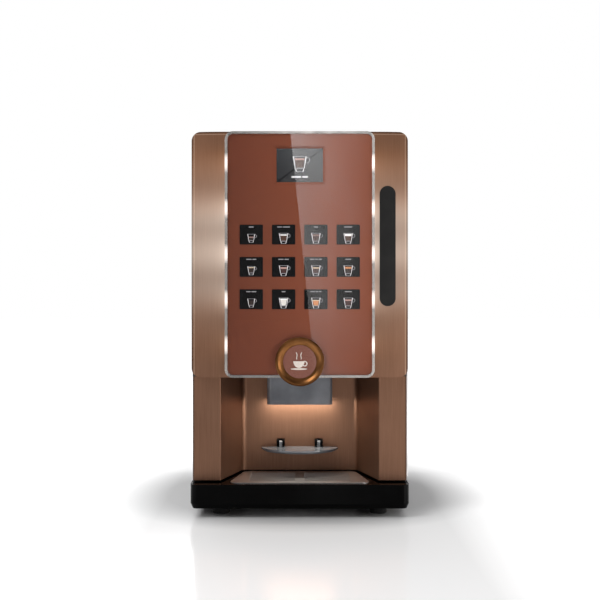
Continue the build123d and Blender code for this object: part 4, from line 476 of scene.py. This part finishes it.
screen = finish("screen", paint(14, 15, 17), roughness=0.16)
dark_below, light_above = 0.624, 0.695
fall = screen.place("Z").held(dark_below, light_above)
scan = screen.grain(1600, (1, 1, 0.05))
screen.set("Base Color", screen.mix(fall, paint(9, 9, 11), paint(30, 32, 35)))
unlit, lit_grey = (0.002, 0.002, 0.003), (0.012, 0.014, 0.016)
screen.set("Emission Color", screen.mix(fall * (0.7 + scan * 0.3), unlit, lit_grey))
screen.set("Emission Strength", 1.0)
screen.set("Roughness", 0.12 + scan * 0.08)

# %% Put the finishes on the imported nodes
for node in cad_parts.values():
    for index, material in enumerate(node.data.materials):
        node.data.materials[index] = finishes[material.name.split(".")[0]].material
print("finishes", len(finishes))

# %% [markdown]
# ## Helpers for modelling by hand
# Operators act on whatever is selected, so every piece starts from an empty selection. Faces and edges are
# picked by where they are and which way they run, and a finished piece has its place applied to its mesh.

# %% Modelling helpers


def clear_bench():
    """Nothing is selected and nothing is being edited."""
    if bpy.context.object and bpy.context.object.mode != "OBJECT":
        bpy.ops.object.mode_set(mode="OBJECT")
    bpy.ops.object.select_all(action="DESELECT")


def pick(kind, test):
    """In edit mode, selects only the verts, edges or faces that pass the test."""
    bpy.ops.mesh.select_mode(type=kind)
    bpy.ops.mesh.select_all(action="DESELECT")
    form = bmesh.from_edit_mesh(bpy.context.edit_object.data)
    for element in {"VERT": form.verts, "EDGE": form.edges, "FACE": form.faces}[kind]:
        if test(element):
            element.select_set(True)
    form.select_flush_mode()
    bmesh.update_edit_mesh(bpy.context.edit_object.data)


def block(name, middle, size):
    """A box at its place, active and in edit mode, ready to be shaped."""
    clear_bench()
    bpy.ops.mesh.primitive_cube_add(size=1, location=middle)
    piece = bpy.context.object
    piece.name = piece.data.name = name
    piece.scale = size
    bpy.ops.object.transform_apply(location=True, rotation=True, scale=True)
    bpy.ops.object.mode_set(mode="EDIT")
    return piece


def runs_along(edge, axis):
    """True if the edge lies along that axis."""
    run = (edge.verts[1].co - edge.verts[0].co).normalized()
    return abs(run[axis]) > 0.99


def dress(piece, slot, body, angle=35.0):
    """Leaves edit mode, smooths, and gives the piece its finish and the body that moves it."""
    clear_bench()
    piece.select_set(True)
    bpy.context.view_layer.objects.active = piece
    bpy.ops.object.transform_apply(location=True, rotation=True, scale=True)
    bpy.ops.object.shade_smooth_by_angle(angle=math.radians(angle))
    if not piece.data.materials:
        piece.data.materials.append(finishes[slot].material)
    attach(piece, body)
    return piece


def joined(name, parts):
    """Several meshes made one."""
    clear_bench()
    for part in parts:
        part.select_set(True)
    bpy.context.view_layer.objects.active = parts[0]
    bpy.ops.object.join()
    parts[0].name = parts[0].data.name = name
    return parts[0]


def tile(name, middle, size, corner, edge):
    """A flat plate facing the front, with rounded corners and a softened front edge."""
    piece = block(name, middle, size)
    pick("EDGE", lambda e: runs_along(e, 1))
    bpy.ops.mesh.bevel(offset=corner, segments=5, affect="EDGES")
    front = middle[1] - size[1] / 2
    pick("EDGE", lambda e: all(abs(v.co.y - front) < 1e-6 for v in e.verts) and e.is_manifold
         and any(abs(f.normal.y) < 0.5 for f in e.link_faces))
    bpy.ops.mesh.bevel(offset=edge, segments=2, affect="EDGES")
    bpy.ops.object.mode_set(mode="OBJECT")
    return piece


# %% [markdown]
# ## The drink picture
# Every key shows a glass cup with a handle, drawn in light lines on black, with the drink inside. Drawn as
# a texture it would blur close up and be lost from the mesh, so each cup is a thin relief: a drink, a band
# of foam on top of it, two walls, a rim, a foot and a handle. It is modelled once at a unit size and
# copied.

# %% Draw one cup


def slab(name, corners, back, front):
    """A thin flat shape through the corners, from the plane at back to the plane at front."""
    clear_bench()
    bpy.ops.mesh.primitive_circle_add(
        vertices=len(corners), radius=1, fill_type="NGON", rotation=(math.pi / 2, 0, 0),
    )
    piece = bpy.context.object
    piece.name = piece.data.name = name
    bpy.ops.object.transform_apply(location=True, rotation=True, scale=True)
    for vertex, (x, z) in zip(piece.data.vertices, corners):
        vertex.co = (x, back, z)
    bpy.ops.object.mode_set(mode="EDIT")
    bpy.ops.mesh.select_all(action="SELECT")
    bpy.ops.mesh.extrude_region_move(TRANSFORM_OT_translate={"value": (0, front - back, 0)})
    bpy.ops.mesh.select_all(action="SELECT")
    bpy.ops.mesh.normals_make_consistent(inside=False)
    bpy.ops.object.mode_set(mode="OBJECT")
    return piece


def ring_shape(middle, outer, inner, start, turn, steps):
    """Corners of a flat arc, out along its outer edge and back along the inner one."""
    angles = [start + turn * step / steps for step in range(steps + 1)]
    out = [(middle[0] + outer * math.cos(a), middle[1] + outer * math.sin(a)) for a in angles]
    back = [(middle[0] + inner * math.cos(a), middle[1] + inner * math.sin(a)) for a in reversed(angles)]
    return out + back


def cup_outline(low, high, spare):
    """Corners of the cup's taper between two heights, drawn in by spare. The cup is 16 wide at the top."""
    half = [5.2 + 2.8 * (z + 9.0) / 15.0 - spare for z in (low, high)]
    return [(-half[0], low), (half[0], low), (half[1], high), (-half[1], high)]


def draw_cup(name, plane, lift, drink, foam, foam_depth, fill):
    """One cup in millimetres about the origin, as finishes glass line, drink and foam."""
    top = -8.2 + fill * 13.0
    shapes = [("drink", cup_outline(-8.2, top - foam_depth, 1.3), 0.4, drink)]
    shapes.append(("foam", cup_outline(top - foam_depth, top, 1.25), 0.5, foam))
    for side in (-1, 1):
        wall = [(5.2, -9.0), (6.0, -9.0), (8.7, 6.0), (7.2, 6.0)]
        foot = [(3.6, -13.0), (4.7, -13.0), (5.7, -9.3), (4.6, -9.3)]
        for outline in (wall, foot):
            outline = [(side * x, z) for x, z in outline]
            shapes.append(("wall", outline if side > 0 else outline[::-1], 0.7, "glass_line"))
    shapes.append(("rim", [(-7.9, 5.5), (7.9, 5.5), (8.0, 6.2), (-8.0, 6.2)], 0.8, "faint_line"))
    shapes.append(("floor", cup_outline(-9.4, -8.3, 0.2), 0.8, "faint_line"))
    shapes.append(("foot", [(-4.9, -13.6), (4.9, -13.6), (4.7, -12.9), (-4.7, -12.9)], 0.8, "faint_line"))
    shapes.append(("handle", ring_shape((9.0, 1.2), 3.7, 2.9, -1.9, 3.5, 12), 0.6, "faint_line"))
    parts = []
    for title, corners, share, slot in shapes:
        corners = [(x * 0.001, z * 0.001) for x, z in corners]
        part = slab(title, corners, plane, plane - lift * share)
        part.data.materials.append(finishes[slot].material)
        parts.append(part)
    return joined(name, parts)


INKS = {
    "glass_line": (226, 222, 224),
    "faint_line": (150, 148, 152),
    "dark_coffee": (34, 18, 12),
    "coffee": (70, 42, 26),
    "chocolate": (58, 28, 24),
    "crema": (214, 190, 160),
    "rose_foam": (176, 140, 132),
    "caramel": (196, 128, 78),
    "milk": (216, 212, 206),
    "foam": (244, 242, 240),
}
for slot, colour in INKS.items():
    ink = finish(slot, paint(*colour), roughness=0.4)
    dots = ink.grain(2500, detail=1.0).held(0.4, 0.6)
    shade = ink.mix(dots * 0.25, paint(*colour), tuple(c * 0.6 for c in paint(*colour)))
    ink.set("Base Color", shade)
    ink.set("Emission Color", shade)
    ink.set("Emission Strength", 0.5)

# %% [markdown]
# ## Twelve keys
# The keys are dark windows printed behind the glass. Each one is a thin rounded plate with its drink, and
# short bars where a name would be, because no name is written on this machine.

# %% Lay out the keys
key_low, key_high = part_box("key_labels")
key_size = Vector((0.0437, 0.0004, 0.0372))
key_back = key_high.y
key_face = key_back - key_size.y
key_pitch = 0.0604
cup_lift = 0.00008
cup_centre, cup_drop = 0.0034, 0.0068
bar_lift, bar_above, bar_size, word_gap = 0.00003, 0.0142, (0.00006, 0.0017), 1.6
key_middle = (key_low.z + key_high.z) / 2
columns = [key_pitch * step for step in (-1.5, -0.5, 0.5, 1.5)]
rows = [key_middle + key_pitch * step for step in (1, 0, -1)]
DRINKS = (
    ("dark_coffee", "rose_foam", 1.6, 0.62, 0.82), ("coffee", "foam", 2.2, 0.92, 1.0),
    ("chocolate", "rose_foam", 1.4, 0.88, 1.0), ("coffee", "foam", 4.2, 1.0, 1.0),
    ("dark_coffee", "crema", 1.8, 0.95, 0.82), ("chocolate", "rose_foam", 3.2, 0.86, 1.0),
    ("chocolate", "crema", 2.0, 0.82, 1.0), ("dark_coffee", "caramel", 3.6, 0.9, 1.0),
    ("dark_coffee", "dark_coffee", 1.5, 0.8, 0.82), ("milk", "foam", 2.2, 0.98, 1.0),
    ("caramel", "crema", 1.6, 0.78, 1.0), ("chocolate", "rose_foam", 2.6, 0.86, 1.0),
)
WORDS = ((9,), (9, 13), (8,), (15,), (10, 7), (10, 8), (8, 5, 6), (11,), (8, 9), (7,), (8, 5, 4), (13,))

plates = []
cups = []
bars = []
for index, (drink, foam, foam_depth, fill, scale) in enumerate(DRINKS):
    middle = Vector((columns[index % 4], 0, rows[index // 4]))
    spot = (middle.x, key_back - key_size.y / 2, middle.z)
    plates.append(tile("plate", spot, key_size, 0.0016, 0.0001))
    cup = draw_cup("cup", key_face, cup_lift, drink, foam, foam_depth, fill)
    for vertex in cup.data.vertices:
        vertex.co.x = vertex.co.x * scale + middle.x
        vertex.co.z = (vertex.co.z + cup_centre) * scale - cup_drop + middle.z
    cups.append(cup)
    width = sum(WORDS[index]) + word_gap * (len(WORDS[index]) - 1)
    left = -width / 2
    for word in WORDS[index]:
        at = (middle.x + (left + word / 2) * 0.001, key_face - bar_lift, middle.z + bar_above)
        bars.append(tile("bar", at, (word * 0.001, *bar_size), 0.0006, 0.00002))
        left += word + word_gap
key_plates = dress(joined("key_plates", plates), "label", "door")
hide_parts("key_labels")
key_drinks = dress(joined("key_drinks", cups), "label", "door", 20.0)
for bar in bars:
    bar.data.materials.append(finishes["faint_line"].material)
key_captions = dress(joined("key_captions", bars), "label", "door")
print("keys", len(plates), "bars", len(bars))

# %% [markdown]
# ## The screen
# The display is a module with a slim frame round a sunk screen. Insetting the front face and pushing the
# inner face back makes the frame. The picture on it is the same cup, larger, over two bars.

# %% Model the display
screen_low, screen_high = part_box("display_module")
screen_middle = (screen_low + screen_high) / 2
view_half = Vector((0.0435, 0, 0.0315))
view_sunk = 0.0003
picture_scale, picture_rise = 1.5, 0.008
module = block("screen_module", screen_middle, screen_high - screen_low)
pick("EDGE", lambda e: runs_along(e, 1))
bpy.ops.mesh.bevel(offset=0.002, segments=4, affect="EDGES")
pick("FACE", lambda f: f.normal.y < -0.9)
bpy.ops.mesh.inset(thickness=screen_high.x - view_half.x, depth=0)
bpy.ops.mesh.extrude_region_move(TRANSFORM_OT_translate={"value": (0, view_sunk, 0)})
bpy.ops.object.mode_set(mode="OBJECT")
module.data.materials.append(finishes["screen"].material)
module.data.materials.append(finishes["brown_print"].material)
for face in module.data.polygons:
    off = face.center - screen_middle
    if face.normal.y < -0.9 and (abs(off.x) > view_half.x or abs(off.z) > view_half.z):
        face.material_index = 1
screen_module = dress(module, "screen", "door")
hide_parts("display_module")

picture_plane = screen_low.y + view_sunk
big_cup = draw_cup("screen_picture", picture_plane, 0.00016, "coffee", "rose_foam", 2.2, 0.9)
for vertex in big_cup.data.vertices:
    vertex.co.x = vertex.co.x * picture_scale
    vertex.co.z = vertex.co.z * picture_scale + screen_middle.z + picture_rise
screen_bars = []
for left, width in ((-0.0155, 0.018), (0.0045, 0.011)):
    at = (left + width / 2, picture_plane - 0.00006, screen_middle.z - 0.0215)
    bar = tile("bar", at, (width, 0.0001, 0.0032), 0.0012, 0.00003)
    bar.data.materials.append(finishes["glass_line"].material)
    screen_bars.append(bar)
screen_picture = dress(joined("screen_picture", [big_cup, *screen_bars]), "screen", "door", 20.0)

# %% [markdown]
# ## The badge's emblem
# The badge carries a plain cup on a saucer, with a handle and steam, raised from the disc as an enamel
# casting would be. The cup is half of a squashed ball, cut by bisecting; the saucer is a flattened ball and
# the handle a ring, both cut at the disc; the steam is two bent curves with thickness.

# %% Model the emblem
enamel = finish("enamel", paint(236, 224, 214), roughness=0.25, Coat_Weight=0.5)
crackle = enamel.grain(700, detail=3.0)
enamel.set("Base Color", enamel.mix(crackle.held(0.4, 0.7) * 0.4, paint(238, 226, 216), paint(206, 186, 174)))
enamel.relief(crackle, 0.00005, 0.2)

disc_low, disc_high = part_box("badge_disc")
disc_middle = (disc_low + disc_high) / 2
relief_depth = 0.0014
cup_x = -0.0015


def half_sunk(piece):
    """Cuts away what lies behind the disc's face and closes the cut."""
    bpy.ops.object.mode_set(mode="EDIT")
    bpy.ops.mesh.select_all(action="SELECT")
    plane = (0, disc_low.y + 0.0001, 0)
    bpy.ops.mesh.bisect(plane_co=plane, plane_no=(0, 1, 0), clear_outer=True, use_fill=True)
    bpy.ops.object.mode_set(mode="OBJECT")
    return piece


def ball(name, at, size, segments=32, rings=16):
    clear_bench()
    bpy.ops.mesh.primitive_uv_sphere_add(segments=segments, ring_count=rings, radius=1, location=at)
    piece = bpy.context.object
    piece.name = piece.data.name = name
    piece.scale = size
    bpy.ops.object.transform_apply(location=True, rotation=True, scale=True)
    return piece


bowl_top = disc_middle.z + 0.001
bowl = ball("bowl", (cup_x, disc_low.y, bowl_top), (0.0105, relief_depth, 0.0125))
bpy.ops.object.mode_set(mode="EDIT")
bpy.ops.mesh.select_all(action="SELECT")
bpy.ops.mesh.bisect(plane_co=(0, 0, bowl_top), plane_no=(0, 0, 1), clear_outer=True, use_fill=True)
bowl = half_sunk(bowl)
saucer = ball("saucer", (cup_x, disc_low.y, disc_middle.z - 0.0135), (0.0155, relief_depth * 0.8, 0.0018))
saucer = half_sunk(saucer)
clear_bench()
bpy.ops.mesh.primitive_torus_add(
    major_radius=0.0042, minor_radius=0.0011, major_segments=36, minor_segments=12,
    location=(0.0092, disc_low.y, disc_middle.z - 0.0035), rotation=(math.pi / 2, 0, 0),
)
handle = bpy.context.object
bpy.ops.object.transform_apply(location=True, rotation=True, scale=True)
handle = half_sunk(handle)
emblem_parts = [bowl, saucer, handle]
for side in (-1, 1):
    clear_bench()
    bpy.ops.curve.primitive_nurbs_path_add(radius=1)
    steam = bpy.context.object
    for index, point in enumerate(steam.data.splines[0].points):
        sway = 0.0016 * math.sin(index * 1.9) * side
        point.co = (cup_x + side * 0.0038 + sway, disc_low.y, disc_middle.z + 0.0045 + index * 0.0032, 1)
    steam.data.bevel_depth = 0.0008
    steam.data.bevel_resolution = 4
    steam.data.use_fill_caps = True
    bpy.ops.object.convert(target="MESH")
    emblem_parts.append(half_sunk(bpy.context.object))
for part in emblem_parts:
    part.data.materials.clear()
    part.data.materials.append(enamel.material)
badge_emblem = dress(joined("badge_emblem", emblem_parts), "badge_brown", "door")

# %% [markdown]
# ## The door seal
# Between the door frame and the cabinet runs a hollow rubber seal. It keeps steam and dust out and fills
# the dark gap seen from the side. A rectangle's outline with rounded corners becomes a curve with a round
# section.

# %% Model the seal
frame_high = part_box("door_frame")[1]
seal_radius = 0.0034
seal_y = -0.2155
seal_low, seal_top = 0.330, frame_high.z - 0.010
seal_half = frame_high.x - 0.0135
seal = block("door_seal", (0, seal_y, (seal_low + seal_top) / 2), (2 * seal_half, 0.002, seal_top - seal_low))
pick("EDGE", lambda e: runs_along(e, 1))
bpy.ops.mesh.bevel(offset=0.012, segments=6, affect="EDGES")
pick("FACE", lambda f: f.normal.y > -0.5)
bpy.ops.mesh.delete(type="FACE")
pick("FACE", lambda f: True)
bpy.ops.mesh.delete(type="ONLY_FACE")
bpy.ops.object.mode_set(mode="OBJECT")
bpy.ops.object.convert(target="CURVE")
seal.data.bevel_depth = seal_radius
seal.data.bevel_resolution = 3
bpy.ops.object.convert(target="MESH")
door_seal = dress(seal, "rubber", "door", 60.0)

# %% [markdown]
# ## Beans
# A bean is a ball flattened on one side with a groove along it. One is modelled with few faces and copied
# to fill the hopper's floor in layers, each turned its own way from a fixed seed, so that every run is the
# same.

# %% Fill the hopper
roast = finish("roast", paint(58, 34, 20), roughness=0.38)
streak = roast.grain(300, detail=4.0).held(0.35, 0.7)
roast.set("Base Color", roast.mix(streak, paint(46, 26, 15), paint(88, 54, 32)))
roast.set("Roughness", 0.3 + streak * 0.2)

bean = ball("bean", (0, 0, 0), (0.0055, 0.0040, 0.0032), 12, 8)
for vertex in bean.data.vertices:
    groove = math.exp(-(vertex.co.y / 0.0007) ** 2)
    if vertex.co.z > 0:
        vertex.co.z = vertex.co.z * 0.62 - groove * 0.0008
bean.data.materials.append(roast.material)
hopper_low, hopper_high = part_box("bean_hopper")
bean_pitch, wall_gap = 0.0135, 0.020
floor_below, layer_rise = 0.060, 0.006
lots = random.Random(7)
beans = []
for layer in range(3):
    for column in range(9):
        for row in range(9):
            clear_bench()
            copy = bean.copy()
            copy.data = bean.data.copy()
            bpy.context.collection.objects.link(copy)
            copy.location = (
                hopper_low.x + wall_gap + column * bean_pitch + lots.uniform(-0.002, 0.002),
                hopper_low.y + wall_gap + row * bean_pitch + lots.uniform(-0.002, 0.002),
                hopper_high.z - floor_below + layer * layer_rise + lots.uniform(-0.001, 0.001),
            )
            copy.rotation_euler = [lots.uniform(-0.5, 0.5), lots.uniform(-0.5, 0.5), lots.uniform(0, 6.28)]
            beans.append(copy)
bpy.data.objects.remove(bean)
coffee_beans = dress(joined("coffee_beans", beans), "brown_print", "cabinet", 50.0)
print("beans", len(beans), "faces", len(coffee_beans.data.polygons))

# %% [markdown]
# ## Floor, light and camera
# A pale floor and big soft lamps, as in a product studio. The room is grey to the machine and white to the
# eye, so that metal has something to shade against. The floor also glows like a light table, but for a
# patch under the machine and a strip in front, so the machine's own shadow shows. A card with a slanted
# edge stands behind the camera, and its faint image runs down the glass. A low bright board to the front
# right gives the steel tray something to mirror. The camera sees neither.

# %% Stage
clear_bench()
bpy.ops.mesh.primitive_plane_add(size=1, location=(0, 0, 0))
floor = bpy.context.object
floor.name = "floor"
floor.scale = (40, 40, 1)
bpy.ops.object.transform_apply(location=True, rotation=True, scale=True)
pale = Finish("pale_floor", {"Base Color": (0.93, 0.93, 0.93), "Roughness": 0.12, "Specular IOR Level": 0.5})
along = pale.place("Y")
aside = pale.place("X").size()
spread = (aside ** 2.0 + along.size() ** 2.0) ** 0.5
near_from, near_to, near_share = 0.28, 0.40, 0.25
side_from, side_to, side_share = 0.27, 0.5, 0.7
back_from, back_to = 0.25, 0.8
strip_half, strip_from, strip_to = 1.6, -0.8, -1.5
light_table = spread.held(near_from, near_to) * near_share + aside.held(side_from, side_to) * side_share
light_table = light_table + along.held(back_from, back_to)
light_table = light_table * (1 - (aside < strip_half) * along.held(strip_from, strip_to))
pale.set("Emission Color", pale.mix(light_table, (0.0, 0.0, 0.0), (1.0, 1.0, 1.0)))
pale.set("Emission Strength", 1.0)
floor.data.materials.append(pale.material)

world = bpy.data.worlds.new("studio")
bpy.context.scene.world = world
world.use_nodes = True
sky = world.node_tree
sky.nodes.clear()
seen = sky.nodes.new("ShaderNodeBackground")
seen.inputs["Color"].default_value = (1.0, 1.0, 1.0, 1.0)
room = sky.nodes.new("ShaderNodeBackground")
room.inputs["Color"].default_value = (0.80, 0.80, 0.82, 1.0)
room.inputs["Strength"].default_value = 0.20
chooser = sky.nodes.new("ShaderNodeMixShader")
rays = sky.nodes.new("ShaderNodeLightPath")
result = sky.nodes.new("ShaderNodeOutputWorld")
sky.links.new(rays.outputs["Is Camera Ray"], chooser.inputs[0])
sky.links.new(room.outputs[0], chooser.inputs[1])
sky.links.new(seen.outputs[0], chooser.inputs[2])
sky.links.new(chooser.outputs[0], result.inputs["Surface"])


def soft_lamp(name, at, towards, width, height, power, colour=(1.0, 1.0, 1.0)):
    """A rectangular lamp that faces a point."""
    clear_bench()
    bpy.ops.object.light_add(type="AREA", location=at)
    source = bpy.context.object
    source.name = name
    source.data.shape = "RECTANGLE"
    source.data.size, source.data.size_y = width, height
    source.data.energy = power
    source.data.color = colour
    source.rotation_euler = (Vector(towards) - Vector(at)).to_track_quat("-Z", "Y").to_euler()
    source.visible_camera = False
    return source


soft_lamp("over_left", (-1.5, -1.5, 2.2), (0, 0, 0.4), 1.2, 1.2, 30)
soft_lamp("right_front", (2.1, -1.7, 0.6), (0, -0.2, 0.2), 0.8, 0.8, 12, (1.0, 0.97, 0.94))
soft_lamp("far_right", (2.4, -0.9, 1.0), (0, -0.2, 0.4), 0.8, 1.6, 6, (1.0, 0.97, 0.94))
soft_lamp("top", (0, 0.4, 2.6), (0, 0, 0.5), 2.2, 1.6, 36)
soft_lamp("behind", (-0.6, 2.6, 1.4), (0, 0.2, 0.4), 1.6, 1.2, 30)
lamp_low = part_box("door_lamps")[0].z
soft_lamp("niche_glow", (0, -0.160, lamp_low - 0.003), (0, -0.120, 0.1), 0.14, 0.04, 0.2, (1.0, 0.93, 0.82))

# %% Card behind the camera and board on the floor
card_plane, card_foot, card_top, card_right = -3.5, -0.05, 1.75, 0.60
left_at_foot, left_at_top = 0.085, -0.10
clear_bench()
bpy.ops.mesh.primitive_plane_add(size=1, location=(0, card_plane, 0), rotation=(math.pi / 2, 0, 0))
card = bpy.context.object
card.name = "card"
bpy.ops.object.transform_apply(location=True, rotation=True, scale=True)
for vertex in card.data.vertices:
    left = vertex.co.x < 0
    high = vertex.co.z > 0
    left_edge = left_at_top if high else left_at_foot
    vertex.co = Vector((left_edge if left else card_right, card_plane, card_top if high else card_foot))
shine = Finish("card", {"Base Color": (0.0, 0.0, 0.0)})
fade = shine.place("X").held(-0.1, 0.40)
rise = shine.place("Z").held(0.0, 1.1)
shine.set("Emission Color", shine.mix((1 - fade) * (0.35 + rise * 0.65), (0.0, 0.0, 0.0), (1.0, 1.0, 1.0)))
shine.set("Emission Strength", 4.2)
card.data.materials.append(shine.material)

clear_bench()
bpy.ops.mesh.primitive_plane_add(size=1, location=(0.5, -1.6, 0.01))
bounce = bpy.context.object
bounce.name = "bounce"
bounce.scale = (0.8, 1.3, 1)
bpy.ops.object.transform_apply(location=True, rotation=True, scale=True)
bright = Finish("bounce", {"Base Color": (0.0, 0.0, 0.0), "Emission Color": (1.0, 0.96, 0.93)})
bright.set("Emission Strength", 2.4)
bounce.data.materials.append(bright.material)
for reflector in (card, bounce):
    reflector.visible_camera = False
    reflector.visible_diffuse = False
    reflector.visible_shadow = False

# %% Camera
fascia_plane = -0.268
camera_away = 2.0
camera_x, camera_height = 0.0005, 0.408
field = 1.123
clear_bench()
viewpoint = (camera_x, fascia_plane - camera_away, camera_height)
bpy.ops.object.camera_add(location=viewpoint, rotation=(math.pi / 2, 0, 0))
camera = bpy.context.object
camera.data.sensor_width = 36.0
camera.data.lens = camera.data.sensor_width * camera_away / field
bpy.context.scene.camera = camera
bpy.context.scene.view_settings.view_transform = "Standard"
print("lens", round(camera.data.lens, 2))

# %% The end
clear_bench()
